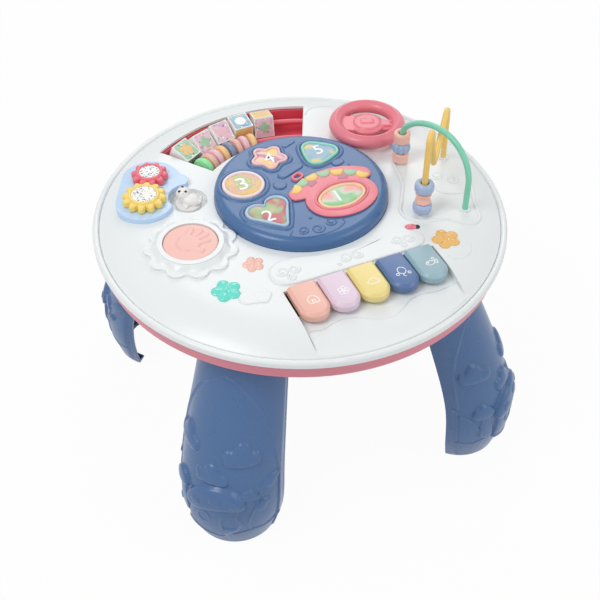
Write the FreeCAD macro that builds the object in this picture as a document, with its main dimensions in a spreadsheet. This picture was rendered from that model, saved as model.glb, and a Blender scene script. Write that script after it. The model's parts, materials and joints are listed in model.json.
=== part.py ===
import FreeCAD, Part
import math
import os

import Sketcher

# Musical activity table, millimetres, +Z up, origin on the floor under the middle of the top.
# The keyboard side faces -Y. Heights are measured from the floor.

doc = FreeCAD.newDocument("activity_table")
sheet = doc.addObject("Spreadsheet::Sheet", "Sizes")

# Driving dimensions: alias, value, what it measures.
ROWS = [
    ("table_rad", 180, "radius of the white rim"),
    ("rim_z", 219, "height of the joint between white top and pink dish"),
    ("bead_rise", 5.6, "height of the rim bead above the joint"),
    ("bead_wide", 5.5, "width of the rim bead"),
    ("deck_z", 234, "height of the flat deck"),
    ("dome_wide", 42, "width of the curved border round the flat deck"),
    ("wall", 2.5, "wall of the two big shells"),
    ("rim_wall", 5, "width of the rim's foot"),
    ("dish_z", 197, "height of the underside"),
    ("dish_round", 26, "width of the curved border round the flat underside"),
    ("skirt_in", 2, "how far the pink skirt stands in from the rim"),
    ("skirt_taper", 2, "how far the pink skirt runs in towards its foot"),
    ("skirt_low_z", 205, "height of the skirt's foot"),
    ("slip", 0.3, "clearance between pieces that move or are dropped in"),
    ("run", 0.08, "radial running clearance of shafts and pins"),
    ("leg_wall", 3, "wall of a leg"),
    ("leg_turn", 45, "azimuth of the first leg, degrees"),
    ("foot_out", 49.5, "how far the leg reaches past its top at the floor"),
    ("foot_rad", 38.5, "half width of the leg at the floor"),
    ("foot_lip", 10, "width of the flat foot lip"),
    ("low_z", 25, "height of the low leg section"),
    ("low_out", 55, "reach past the top at the low section"),
    ("low_rad", 45, "half width at the low section"),
    ("belly_z", 68, "height of the widest leg section"),
    ("belly_out", 53, "reach past the top at the widest section"),
    ("belly_rad", 46.5, "half width at the widest section"),
    ("waist_z", 118, "height of the middle leg section"),
    ("waist_out", 35, "reach past the top at the middle section"),
    ("waist_rad", 43, "half width at the middle section"),
    ("neck_z", 160, "height of the upper leg section"),
    ("neck_out", 15.5, "reach past the top at the upper section"),
    ("neck_rad", 39.2, "half width at the upper section"),
    ("leg_in", 26.5, "how far the leg's top stands in from the rim"),
    ("leg_top_rad", 36.8, "half width of the leg under the dish"),
    ("tenon_rise", 8, "height of the leg's tenon"),
    ("tenon_thick", 2.2, "thickness of the leg's tenon"),
    ("panel_x", 5.5, "middle of the blue panel"),
    ("panel_y", 9.5, "middle of the blue panel"),
    ("panel_rad", 76, "radius of the blue panel"),
    ("panel_rise", 11, "height of the blue panel above the deck"),
    ("panel_round", 7, "rounding of the blue panel's edge"),
    ("panel_seat", 1.2, "depth of the panel's seat in the deck"),
    ("panel_land", 5, "width of the ledge under the panel"),
    ("button_rise", 2.5, "height of the buttons above the panel"),
    ("button_travel", 2.2, "push of the five buttons"),
    ("round_x", -41, "button 3"),
    ("round_y", 28.3, "button 3"),
    ("round_rad", 18.6, "button 3"),
    ("heart_x", -33.8, "button 2"),
    ("heart_y", -14.2, "button 2"),
    ("heart_rad", 10.6, "lobe radius of button 2"),
    ("heart_turn", 13, "turn of button 2, degrees"),
    ("star_x", -5.8, "button 4"),
    ("star_y", 55.2, "button 4"),
    ("star_rad", 19, "tip radius of button 4"),
    ("star_in", 12.5, "valley radius of button 4"),
    ("star_turn", 43.4, "turn of button 4, degrees"),
    ("tri_x", 38.2, "button 5"),
    ("tri_y", 44.2, "button 5"),
    ("tri_rad", 9.3, "corner radius of button 5"),
    ("tri_turn", -7, "turn of button 5, degrees"),
    ("oval_x", 30.3, "button 1"),
    ("oval_y", -20.4, "button 1"),
    ("oval_long", 22.7, "half length of button 1"),
    ("oval_short", 14.8, "half width of button 1"),
    ("oval_turn", 9, "turn of button 1, degrees"),
    ("awning_thick", 2, "thickness of the awning plate"),
    ("awning_long", 33, "half length of the plate's oval"),
    ("awning_short", 25.5, "half width of the plate's oval"),
    ("key_pitch", 26.2, "spacing of the keys"),
    ("key_wide", 25, "width of a key"),
    ("key_long", 38, "length of a key"),
    ("key_mid_x", 9.3, "middle of the keyboard"),
    ("key_back_y", -97.5, "back edge of the keys"),
    ("key_rise", 4.2, "height of the keys above the deck"),
    ("key_deep", 7.4, "thickness of a key"),
    ("key_bevel", 2.4, "bevel round a key's top"),
    ("key_dip", 4, "press of a key, degrees"),
    ("key_pivot", 9, "how far the key axle lies behind the keys"),
    ("key_axle_drop", 9.5, "how far the key axle lies below the deck"),
    ("key_axle_rad", 2, "radius of the key axle"),
    ("step_floor", 226.8, "height of the sunk step in front of the keys"),
    ("step_out", 223.9, "height of the sunk step at the rim"),
    ("step_side", 2.2, "room beside the outer keys"),
    ("drum_x", -106.5, "middle of the hand drum"),
    ("drum_y", -17.5, "middle of the hand drum"),
    ("drum_rad", 23, "radius of the drum button"),
    ("drum_rise", 6, "height of the drum button above the deck"),
    ("drum_ring", 27.5, "outer radius of the ring round the drum"),
    ("drum_ring_rise", 7, "height of the ring above the deck"),
    ("drum_travel", 2.2, "push of the drum button"),
    ("petal_reach", 31, "middle of the petals round the drum"),
    ("petal_rad", 8.2, "radius of a petal"),
    ("petal_rise", 2.4, "height of the petals above the deck"),
    ("petal_count", 11, "petals round the drum"),
    ("wheel_x", 99.3, "middle of the steering wheel"),
    ("wheel_y", 68.3, "middle of the steering wheel"),
    ("wheel_rim", 29.3, "radius of the wheel's rim line"),
    ("wheel_tube", 6.3, "radius of the wheel's rim"),
    ("wheel_lift", 10, "height of the rim line above the deck"),
    ("wheel_hub", 14, "radius of the wheel's hub plate"),
    ("wheel_shaft", 5, "radius of the wheel's shaft"),
    ("gear_a_x", -124, "middle of the yellow gear"),
    ("gear_a_y", 50.5, "middle of the yellow gear"),
    ("gear_gap", 31.6, "distance between the gear centres"),
    ("gear_line", 63.2, "direction from yellow to red gear, degrees"),
    ("gear_a_teeth", 12, "teeth of the yellow gear"),
    ("gear_b_teeth", 10, "teeth of the red gear"),
    ("tooth_out", 2.3, "tooth height outside the pitch circle"),
    ("tooth_in", 3, "tooth depth inside the pitch circle"),
    ("tooth_share", 0.4, "tooth width as a share of the pitch"),
    ("gear_thick", 6.5, "thickness of the gears"),
    ("gear_pin", 3, "radius of the gear pins"),
    ("base_rad", 25, "round ends of the gear base"),
    ("base_rise", 5, "height of the gear base above the deck"),
    ("seal_x", -87.6, "middle of the seal's well"),
    ("seal_y", 41.6, "middle of the seal's well"),
    ("seal_well", 16.6, "radius of the well"),
    ("seal_deep", 4, "depth of the well"),
    ("seal_disc", 11.5, "radius of the seal's turntable"),
    ("seal_long", 13.5, "half length of the seal's body"),
    ("seal_wide", 8.2, "half width of the seal's body"),
    ("seal_high", 6.6, "half height of the seal's body"),
    ("tray_from", 64.5, "right end of the block tray's mouth, degrees"),
    ("tray_to", 126.5, "left end of the block tray's mouth, degrees"),
    ("tray_in", 89.8, "inner radius of the mouth"),
    ("tray_out", 148.2, "outer radius of the mouth"),
    ("tray_floor", 213.4, "height of the tray's floor"),
    ("tray_top", 230.3, "height of the tray's wall"),
    ("tray_wall", 2, "wall of the tray"),
    ("tray_end", 2.2, "how far the tray runs on under the deck, degrees"),
    ("rod_z", 228.1, "height of the two rods"),
    ("rod_rad", 2.25, "radius of the two rods"),
    ("block_arc", 130.6, "radius of the block axle's arc"),
    ("block_side", 20, "height and depth of a block"),
    ("block_long", 18.6, "length of a block along its axle"),
    ("block_bore", 2.8, "radius of a block's bore"),
    ("block_first", 121, "azimuth of block 1, degrees"),
    ("block_step", 9.75, "spacing of the blocks, degrees"),
    ("ring_arc", 104.2, "radius of the ring rod's arc"),
    ("ring_rad", 11.6, "outer radius of a ring"),
    ("ring_hole", 4.8, "hole radius of a ring"),
    ("ring_thick", 6.4, "thickness of a ring"),
    ("ring_first", 122.6, "azimuth of ring 1, degrees"),
    ("ring_step", 4.45, "spacing of the rings, degrees"),
    ("wire_rad", 2.6, "radius of the bead wires"),
    ("wire_deep", 7, "how far the wires run below the deck"),
    ("green_x", 106.5, "bead end of the green wire"),
    ("green_y", 15.5, "bead end of the green wire"),
    ("green_turn", -77.2, "direction of the green wire, degrees"),
    ("green_span", 85, "distance between the green wire's feet"),
    ("green_top", 61, "height of the green wire above the deck"),
    ("green_small", 18, "tight bend of the green wire"),
    ("green_shoulder", 29, "height where the tight bend starts"),
    ("green_crest", 50.5, "place of the green wire's top along its span"),
    ("yellow_x", 88.5, "front foot of the yellow wire"),
    ("yellow_y", -57, "front foot of the yellow wire"),
    ("yellow_turn", 47.4, "direction of the yellow wire, degrees"),
    ("yellow_span", 85, "distance between the yellow wire's feet"),
    ("yellow_lean", 2, "how far the front yellow post leans in"),
    ("yellow_high", 95, "height of the yellow wire's front corner"),
    ("yellow_dip", 26, "height of the yellow wire's low corner"),
    ("yellow_dip_at", 35, "distance from the front foot to the low corner"),
    ("yellow_far_lean", 7, "how far the back yellow post leans in"),
    ("yellow_far_high", 62, "height of the yellow wire's back corner"),
    ("yellow_bend", 5.2, "bend radius of the yellow wire"),
    ("bead_hole", 3.4, "hole radius of the beads"),
    ("bead_high", 10, "height of a bead"),
    ("bead_rad", 8.4, "radius of the wide beads"),
    ("bead_waist", 6.8, "radius of the slim beads"),
    ("collar_rad", 4.6, "radius of the wires' collars"),
    ("collar_rise", 1.6, "height of the wires' collars"),
    ("flower_rise", 2.6, "height of the flower windows above the deck"),
    ("flower_stem", 5, "radius of the flowers' stems"),
    ("board_z", 216.4, "underside of the main circuit board"),
    ("board_thick", 1.6, "thickness of the circuit boards"),
    ("pad_rad", 4, "radius of the rubber contact pads"),
    ("pad_high", 3, "height of the rubber contact pads"),
    ("boss_rad", 3.8, "radius of the screw bosses"),
    ("boss_in", 25, "how far the screw bosses stand in from the rim"),
    ("screw_rad", 1.4, "shank radius of the screws"),
    ("screw_head", 2.9, "head radius of the screws"),
    ("screw_long", 20, "length of the long screws"),
    ("door_long", 62, "length of the battery door"),
    ("door_wide", 50, "width of the battery door"),
    ("door_x", -6, "middle of the battery door"),
    ("door_y", -45, "middle of the battery door"),
    ("door_thick", 2, "thickness of the battery door"),
    ("cell_rad", 7.1, "radius of a battery cell"),
    ("cell_long", 50.2, "length of a battery cell"),
    ("speaker_x", 48, "middle of the speaker"),
    ("speaker_y", 30, "middle of the speaker"),
    ("speaker_rad", 18, "radius of the speaker"),
    ("speaker_high", 11, "height of the speaker"),
    ("switch_x", -70, "middle of the power switch"),
    ("switch_y", -40, "middle of the power switch"),
    ("switch_move", 4, "travel of the power switch"),
]


class Size:
    """A number that remembers the sheet expression it came from."""

    def __init__(self, value, text):
        self.value = float(value)
        self.text = text

    def __add__(self, other):
        return Size(self.value + number(other), "(%s + %s)" % (self.text, words(other)))

    def __radd__(self, other):
        return Size(number(other) + self.value, "(%s + %s)" % (words(other), self.text))

    def __sub__(self, other):
        return Size(self.value - number(other), "(%s - %s)" % (self.text, words(other)))

    def __rsub__(self, other):
        return Size(number(other) - self.value, "(%s - %s)" % (words(other), self.text))

    def __mul__(self, other):
        return Size(self.value * number(other), "(%s * %s)" % (self.text, words(other)))

    def __rmul__(self, other):
        return self * other

    def __truediv__(self, other):
        return Size(self.value / number(other), "(%s / %s)" % (self.text, words(other)))

    def __rtruediv__(self, other):
        return Size(number(other) / self.value, "(%s / %s)" % (words(other), self.text))

    def __neg__(self):
        return Size(-self.value, "(0 - %s)" % self.text)


def number(item):
    """The plain value of a size or a number."""
    return item.value if isinstance(item, Size) else float(item)


def words(item):
    """The expression text of a size or a number."""
    if isinstance(item, Size):
        return item.text
    return "%.9g" % item if item >= 0 else "(0 - %.9g)" % -item


def root(item):
    """Square root of a size."""
    return Size(math.sqrt(item.value), "sqrt(%s)" % item.text)


def cosine(angle):
    """Cosine of an angle in degrees."""
    if isinstance(angle, Size):
        return Size(math.cos(math.radians(angle.value)), "cos(%s * 1 deg)" % angle.text)
    return math.cos(math.radians(angle))


def sine(angle):
    """Sine of an angle in degrees."""
    if isinstance(angle, Size):
        return Size(math.sin(math.radians(angle.value)), "sin(%s * 1 deg)" % angle.text)
    return math.sin(math.radians(angle))


class Sizes:
    """The sheet's sizes by name."""


S = Sizes()
for line, (alias, value, meaning) in enumerate(ROWS, start=1):
    sheet.set("A%d" % line, alias)
    sheet.set("B%d" % line, str(value))
    sheet.set("C%d" % line, meaning)
    sheet.setAlias("B%d" % line, alias)
    setattr(S, alias, Size(value, "Sizes.%s" % alias))
doc.recompute()

NODES = []


def keep(shape, label):
    """Name a finished piece and put it on the list of nodes."""
    shape.Label = label
    NODES.append(shape)
    return shape


def bind(item, prop, size):
    """Set a property from a size and keep it tied to the sheet."""
    if isinstance(size, Size):
        item.setExpression(prop, size.text)
    else:
        item.setExpression(prop, words(size))


def put(item, x=0, y=0, z=0, turn=0, axis=(0, 0, 1)):
    """Place a piece, tied to the sheet, turned about one axis by an angle in degrees."""
    spin = FreeCAD.Rotation(FreeCAD.Vector(*axis), number(turn))
    item.Placement = FreeCAD.Placement(FreeCAD.Vector(number(x), number(y), number(z)), spin)
    bind(item, "Placement.Base.x", x)
    bind(item, "Placement.Base.y", y)
    bind(item, "Placement.Base.z", z)
    if isinstance(turn, Size):
        item.setExpression("Placement.Rotation.Angle", turn.text)
    return item


def cylinder(name, radius, height, x=0, y=0, z=0):
    """An upright cylinder standing at a height."""
    item = doc.addObject("Part::Cylinder", name)
    bind(item, "Radius", radius)
    bind(item, "Height", height)
    return put(item, x, y, z)


def cuboid(name, length, width, height, x=0, y=0, z=0):
    """A box centred on x and y and standing at a height."""
    item = doc.addObject("Part::Box", name)
    bind(item, "Length", length)
    bind(item, "Width", width)
    bind(item, "Height", height)
    return put(item, x - length / 2, y - width / 2, z)


def cut(name, base, tool):
    """One solid less another."""
    item = doc.addObject("Part::Cut", name)
    item.Base = base
    item.Tool = tool
    return item


def fuse(name, shapes):
    """Several solids joined."""
    item = doc.addObject("Part::MultiFuse", name)
    item.Shapes = shapes
    return item


def group(name, shapes):
    """Separate solids kept as one named piece."""
    item = doc.addObject("Part::Compound", name)
    item.Links = shapes
    return item


def new_body(name):
    """An empty solid body."""
    return doc.addObject("PartDesign::Body", name)


def plane_of(body, role):
    """One of the body's own origin planes."""
    return [item for item in body.Origin.OriginFeatures if item.Role == role][0]


def new_sketch(body, role="XY_Plane", offset=0):
    """A sketch on an origin plane of the body, lifted along the plane's normal."""
    sketch = body.newObject("Sketcher::SketchObject", body.Name + "_sketch")
    sketch.AttachmentSupport = [(plane_of(body, role), "")]
    sketch.MapMode = "FlatFace"
    if isinstance(offset, Size) or offset:
        sketch.AttachmentOffset = FreeCAD.Placement(FreeCAD.Vector(0, 0, number(offset)), FreeCAD.Rotation())
        bind(sketch, "AttachmentOffset.Base.z", offset)
    return sketch


def pin(sketch, kind, geometry, end, size):
    """Hold one coordinate of a sketch point at a size from the origin."""
    mark = sketch.addConstraint(Sketcher.Constraint(kind, -1, 1, geometry, end, number(size)))
    if isinstance(size, Size):
        sketch.setExpression("Constraints[%d]" % mark, size.text)


def draw_circle(sketch, radius, x=0, y=0):
    """A circle held by its centre and radius."""
    middle = FreeCAD.Vector(number(x), number(y), 0)
    ring = sketch.addGeometry(Part.Circle(middle, FreeCAD.Vector(0, 0, 1), number(radius)), False)
    mark = sketch.addConstraint(Sketcher.Constraint("Radius", ring, number(radius)))
    if isinstance(radius, Size):
        sketch.setExpression("Constraints[%d]" % mark, radius.text)
    pin(sketch, "DistanceX", ring, 3, x)
    pin(sketch, "DistanceY", ring, 3, y)


def arc_edge(start, end, radius):
    """An arc of a given radius between two points, with its middle left of the way if positive."""
    chord = end - start
    half = chord.Length / 2
    side = FreeCAD.Vector(-chord.y, chord.x, 0)
    side.normalize()
    size = abs(radius)
    reach = math.sqrt(max(size * size - half * half, 0))
    sign = 1 if radius > 0 else -1
    centre = (start + end) * 0.5 + side * (reach * sign)
    first = start if sign > 0 else end
    last = end if sign > 0 else start
    low = math.atan2(first.y - centre.y, first.x - centre.x)
    high = math.atan2(last.y - centre.y, last.x - centre.x)
    if high <= low:
        high += 2 * math.pi
    return Part.ArcOfCircle(Part.Circle(centre, FreeCAD.Vector(0, 0, 1), size), low, high)


def draw_outline(sketch, points):
    """A closed outline. A point is (x, y), or (x, y, radius) where an arc leads to the next.

    A positive radius has its centre left of the way from this point to the next.
    """
    count = len(points)
    spots = [FreeCAD.Vector(number(p[0]), number(p[1]), 0) for p in points]
    edges = []
    for here, point in enumerate(points):
        there = (here + 1) % count
        if len(point) == 3:
            arc = arc_edge(spots[here], spots[there], number(point[2]))
            edges.append(sketch.addGeometry(arc, False))
        else:
            edges.append(sketch.addGeometry(Part.LineSegment(spots[here], spots[there]), False))
    ends = []
    for point in points:
        backwards = len(point) == 3 and number(point[2]) < 0
        ends.append((2, 1) if backwards else (1, 2))
    for here, point in enumerate(points):
        there = (here + 1) % count
        link = Sketcher.Constraint("Coincident", edges[here], ends[here][1], edges[there], ends[there][0])
        sketch.addConstraint(link)
    for here, point in enumerate(points):
        pin(sketch, "DistanceX", edges[here], ends[here][0], point[0])
        pin(sketch, "DistanceY", edges[here], ends[here][0], point[1])
        if len(point) == 3:
            hold_arc(sketch, edges[here], point, points[(here + 1) % count])


def hold_arc(sketch, edge, point, following):
    """Hold an arc by its radius, or a half circle by its middle, which lies between its ends."""
    size = point[2]
    chord_x = number(following[0]) - number(point[0])
    chord_y = number(following[1]) - number(point[1])
    if abs(math.hypot(chord_x, chord_y) / 2 - abs(number(size))) < 1e-6:
        if abs(chord_y) > abs(chord_x):
            pin(sketch, "DistanceX", edge, 3, (point[0] + following[0]) / 2)
        else:
            pin(sketch, "DistanceY", edge, 3, (point[1] + following[1]) / 2)
        return
    mark = sketch.addConstraint(Sketcher.Constraint("Radius", edge, abs(number(size))))
    if isinstance(size, Size):
        positive = size if size.value > 0 else -size
        sketch.setExpression("Constraints[%d]" % mark, positive.text)


def pad(body, sketch, height, down=False):
    """Grow a sketch into the body."""
    item = body.newObject("PartDesign::Pad", body.Name + "_pad")
    item.Profile = sketch
    bind(item, "Length", height)
    item.Reversed = down
    return item


def pocket(body, sketch, depth, up=True):
    """Cut a sketch out of the body, upwards from its plane."""
    item = body.newObject("PartDesign::Pocket", body.Name + "_pocket")
    item.Profile = sketch
    bind(item, "Length", depth)
    item.Reversed = up
    return item


def revolve(body, sketch):
    """Turn a sketch about the vertical axis into the body."""
    item = body.newObject("PartDesign::Revolution", body.Name + "_turned")
    item.Profile = sketch
    item.ReferenceAxis = (sketch, ["V_Axis"])
    item.Angle = 360
    return item


def polar(body, feature, sketch, count):
    """Repeat a feature round the vertical axis."""
    item = body.newObject("PartDesign::PolarPattern", body.Name + "_round")
    item.Originals = [feature]
    item.Axis = (sketch, ["N_Axis"])
    item.Angle = 360
    bind(item, "Occurrences", count)
    body.Tip = item
    return item


def turned(name, points):
    """A body turned from an outline of radius and height."""
    body = new_body(name)
    sketch = new_sketch(body, "XZ_Plane")
    draw_outline(sketch, points)
    revolve(body, sketch)
    return body


def prism(name, points, height, z=0):
    """A body padded from one outline at a height."""
    body = new_body(name)
    sketch = new_sketch(body, "XY_Plane", z)
    draw_outline(sketch, points)
    pad(body, sketch, height)
    return body


def sector(name, inner, outer, start, end, height, z):
    """A body over part of a ring, between two azimuths in degrees."""
    points = [
        (inner * cosine(start), inner * sine(start)),
        (outer * cosine(start), outer * sine(start), outer),
        (outer * cosine(end), outer * sine(end)),
        (inner * cosine(end), inner * sine(end), -inner),
    ]
    return prism(name, points, height, z)


# Rim, deck and the arc that joins them.
lip_rad = S.table_rad - S.bead_wide - 0.7
deck_rad = S.table_rad - S.dome_wide
skirt_rad = S.table_rad - S.skirt_in
skirt_low_rad = skirt_rad - S.skirt_taper
dish_flat = skirt_low_rad - S.dish_round
boss_ring = S.table_rad - S.boss_in
leg_top_reach = S.table_rad - S.leg_in
BOSS_SKIN = 0.9
lip_z = S.rim_z + S.bead_rise - 1
dome_run = lip_rad - deck_rad
dome_drop = S.deck_z - lip_z
dome_rad = (dome_run * dome_run + dome_drop * dome_drop) / (dome_drop * 2)


def dome_z(radius, inset):
    """Height of the dome at a radius, for the skin that lies inset under the outer one."""
    run = radius - deck_rad
    skin = dome_rad - inset
    return S.deck_z - dome_rad + root(skin * skin - run * run)


def shell_outside(name):
    """The full outer form of the white top: rim, bead, dome and deck."""
    bead_top = S.rim_z + S.bead_rise
    bead_half = S.bead_wide / 2
    return turned(name, [
        (0, S.rim_z),
        (S.table_rad, S.rim_z),
        (S.table_rad, bead_top - bead_half, bead_half),
        (S.table_rad - S.bead_wide, bead_top - bead_half),
        (lip_rad, lip_z, dome_rad),
        (deck_rad, S.deck_z),
        (0, S.deck_z),
    ])


def shell_inside(name):
    """The hollow of the white top."""
    inner = S.table_rad - S.rim_wall
    below = S.rim_z - 1
    return turned(name, [
        (0, below),
        (inner, below),
        (inner, dome_z(inner, S.wall), dome_rad - S.wall),
        (deck_rad, S.deck_z - S.wall),
        (0, S.deck_z - S.wall),
    ])


def key_step(name, grow):
    """The space over the sunk step in front of the keys, grown by a wall for the inside."""
    body = new_body(name)
    half = S.key_pitch * 2.5 + S.step_side + grow
    sketch = new_sketch(body, "YZ_Plane", S.key_mid_x - half)
    back = S.key_back_y + 0.6 + grow
    above = S.deck_z + 10
    draw_outline(sketch, [
        (back, above),
        (-lip_rad, above),
        (-lip_rad, S.step_out - grow),
        (S.key_back_y - S.key_long, S.step_floor - grow),
        (back, S.step_floor - grow),
    ])
    pad(body, sketch, half * 2)
    return body


def make_top_shell():
    """White top: dome, key step, seal well, mouths for panel, tray, drum and keys, ring and petals."""
    outside = cut("top_outer", shell_outside("top_skin"), fuse("top_dents", [
        key_step("step_space", 0),
        cylinder("well_space", S.seal_well, 20, S.seal_x, S.seal_y, S.deck_z - S.seal_deep),
        cylinder("panel_space", S.panel_rad + S.slip, 20, S.panel_x, S.panel_y, S.deck_z - S.panel_seat),
    ]))
    inside = cut("top_inner", shell_inside("top_hollow"), fuse("top_humps", [
        key_step("step_under", S.wall),
        cylinder("well_under", S.seal_well + S.wall, 20, S.seal_x, S.seal_y, S.deck_z - S.seal_deep - S.wall),
        cylinder("panel_under", S.panel_rad + S.wall, 20, S.panel_x, S.panel_y,
                 S.deck_z - S.panel_seat - S.wall),
    ]))
    skin = cut("top_walls", outside, inside)
    low = S.deck_z - 5
    petals = new_body("petals")
    middle = new_sketch(petals, "XY_Plane", 0)
    draw_circle(middle, S.petal_reach)
    pad(petals, middle, S.petal_rise + S.wall)
    leaf = new_sketch(petals, "XY_Plane", 0)
    draw_circle(leaf, S.petal_rad, S.petal_reach, 0)
    petal = pad(petals, leaf, S.petal_rise + S.wall)
    polar(petals, petal, leaf, S.petal_count)
    put(petals, S.drum_x, S.drum_y, S.deck_z - S.wall)
    drum_height = S.drum_ring_rise + S.wall
    collars = []
    for name, x, y in WIRE_FEET:
        collars.append(cylinder(name + "_collar", S.collar_rad, S.collar_rise + S.wall + 3, x, y,
                                S.deck_z - S.wall - 3))
    boss_top = dome_z(boss_ring + S.boss_rad, 0) - BOSS_SKIN
    bosses = []
    for place, angle in enumerate(BOSS_ANGLES):
        bosses.append(cylinder("top_boss_%d" % place, S.boss_rad, boss_top - BOSS_FOOT,
                               boss_ring * cosine(angle), boss_ring * sine(angle), BOSS_FOOT))
    bearings = []
    for place in range(6):
        x = S.key_mid_x + S.key_pitch * (place - 2.5)
        bearings.append(cuboid("key_bearing_%d" % place, KEY_GAP_WEB, 8, S.deck_z - 1 - KEY_WEB_LOW, x,
                               S.key_back_y + S.key_pivot, KEY_WEB_LOW))
    solid = fuse("top_solid", [skin, petals, cylinder("drum_rim", S.drum_ring, drum_height, S.drum_x,
                 S.drum_y, S.deck_z - S.wall), cylinder("wheel_socket", S.wheel_shaft + 3, 12, S.wheel_x,
                 S.wheel_y, S.deck_z - 12)] + collars + bosses + bearings)
    keys_wide = S.key_pitch * 5 + S.step_side
    tools = [
        cylinder("panel_mouth", S.panel_rad - S.panel_land, 60, S.panel_x, S.panel_y, low - 30),
        sector("tray_mouth", S.tray_in, S.tray_out, S.tray_from, S.tray_to, 60, low - 30),
        cylinder("drum_mouth", S.drum_rad + S.slip, 60, S.drum_x, S.drum_y, low - 30),
        cuboid("key_mouth", keys_wide, KEY_MOUTH, 60, S.key_mid_x,
               S.key_back_y + 0.6 - KEY_MOUTH / 2, S.step_floor - 30),
        cylinder("wheel_bore", S.wheel_shaft + S.run, 60, S.wheel_x, S.wheel_y, low - 30),
        cylinder("seal_bore", SEAL_STEM + S.run, 60, S.seal_x, S.seal_y, low - 30),
        cuboid("arm_mouth", keys_wide, 6, 30, S.key_mid_x, S.key_back_y + 0.6, S.deck_z - S.wall - 30),
        key_rod("key_rod_bore", S.key_axle_rad),
    ]
    for name, x, y in WIRE_FEET:
        if name == "yellow_front" or name == "yellow_back":
            continue
        tools.append(cylinder(name + "_bore", S.wire_rad, 60, x, y, S.deck_z - S.wire_deep))
    tools.append(yellow_path_solid("yellow_bore"))
    for name, x, y, radius in FLOWERS:
        tools.append(cylinder(name + "_bore", radius + S.slip / 2, 20, x, y, S.deck_z - 10))
    for place, angle in enumerate(BOSS_ANGLES):
        tools.append(cylinder("top_pilot_%d" % place, S.screw_rad, S.screw_long - (BOSS_FOOT - SCREW_SEAT),
                              boss_ring * cosine(angle), boss_ring * sine(angle), BOSS_FOOT))
    keep(cut("top_shell_solid", solid, fuse("top_tools", tools)), "top_shell")


# Derived places that more than one piece uses.
BOSS_ANGLES = [20, 90, 160, 200, 238, 303, 340]
SCREW_SEAT = S.dish_z + 3.5
BOSS_FOOT = S.dish_z + S.wall + 4
KEY_MOUTH = S.key_long * 0.62
KEY_GAP_WEB = S.key_pitch * 0.2
KEY_ARM = S.key_wide - KEY_GAP_WEB - 2 * S.slip
KEY_WEB_LOW = S.deck_z - S.key_axle_drop - S.key_axle_rad - 2
SEAL_STEM = S.seal_disc * 0.35
green_far_x = S.green_x + S.green_span * cosine(S.green_turn)
green_far_y = S.green_y + S.green_span * sine(S.green_turn)
yellow_far_x = S.yellow_x + S.yellow_span * cosine(S.yellow_turn)
yellow_far_y = S.yellow_y + S.yellow_span * sine(S.yellow_turn)
WIRE_FEET = [
    ("green_near", S.green_x, S.green_y),
    ("green_far", green_far_x, green_far_y),
    ("yellow_front", S.yellow_x, S.yellow_y),
    ("yellow_back", yellow_far_x, yellow_far_y),
]
FLOWERS = [
    ("teal_flower", -98.4, -77.5, S.flower_stem),
    ("peach_flower", -67.2, -57.5, S.flower_stem * 0.8),
    ("orange_flower", 91, -94.4, S.flower_stem),
    ("ladybird", 72.8, -69.3, S.flower_stem * 0.45),
]
gear_b_x = S.gear_a_x + S.gear_gap * cosine(S.gear_line)
gear_b_y = S.gear_a_y + S.gear_gap * sine(S.gear_line)
pitch_a = S.gear_gap * S.gear_a_teeth / (S.gear_a_teeth + S.gear_b_teeth)
pitch_b = S.gear_gap * S.gear_b_teeth / (S.gear_a_teeth + S.gear_b_teeth)
key_axle_y = S.key_back_y + S.key_pivot
key_axle_z = S.deck_z - S.key_axle_drop
panel_top = S.deck_z + S.panel_rise
button_top = panel_top + S.button_rise
board_top = S.board_z + S.board_thick
pad_top = board_top + S.pad_high
stem_foot = pad_top + S.button_travel + S.slip


def key_rod(name, radius):
    """A rod along X through the key pivots."""
    long = S.key_pitch * 5 + KEY_GAP_WEB
    item = doc.addObject("Part::Cylinder", name)
    bind(item, "Radius", radius)
    bind(item, "Height", long)
    return put(item, S.key_mid_x - long / 2, key_axle_y, key_axle_z, 90, (0, 1, 0))


# Bead wires: straight runs joined by tangent arcs, swept by a round section.
def wire_solid(name, corners, radius):
    """A round bar along corners (x, y, z, bend radius) with tangent arcs at the inner corners."""
    spots = [FreeCAD.Vector(*corner[:3]) for corner in corners]
    edges = []
    start = spots[0]
    for place in range(1, len(spots) - 1):
        back = (spots[place - 1] - spots[place]).normalize()
        ahead = (spots[place + 1] - spots[place]).normalize()
        half = back.getAngle(ahead) / 2
        bend = corners[place][3]
        reach = bend / math.tan(half)
        enter = spots[place] + back * reach
        leave = spots[place] + ahead * reach
        bisector = (back + ahead).normalize()
        crown = spots[place] + bisector * (bend / math.sin(half) - bend)
        if (enter - start).Length > 1e-4:
            edges.append(Part.LineSegment(start, enter).toShape())
        edges.append(Part.Arc(enter, crown, leave).toShape())
        start = leave
    edges.append(Part.LineSegment(start, spots[-1]).toShape())
    path = Part.Wire(edges)
    way = (spots[1] - spots[0]).normalize()
    section = Part.Wire(Part.Circle(spots[0], way, radius).toShape())
    item = doc.addObject("Part::Feature", name)
    item.Shape = path.makePipeShell([section], True, False)
    return item


def sheet_value(alias):
    """A value read back from the sheet."""
    return float(sheet.get(alias))


def yellow_corners():
    """Corners of the yellow wire: an uneven M, high in front, with a dip between its posts."""
    span = sheet_value("yellow_span")
    lean = sheet_value("yellow_lean")
    foot = sheet_value("deck_z") - sheet_value("wire_deep")
    top = sheet_value("deck_z") + sheet_value("yellow_high")
    dip = sheet_value("deck_z") + sheet_value("yellow_dip")
    bend = sheet_value("yellow_bend")
    far_lean = sheet_value("yellow_far_lean")
    far_top = sheet_value("deck_z") + sheet_value("yellow_far_high")
    middle = sheet_value("yellow_dip_at")
    along = [(0, foot), (lean, top), (middle, dip), (span - far_lean, far_top), (span, foot)]
    return [(x, 0, z, bend) for x, z in along]


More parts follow.
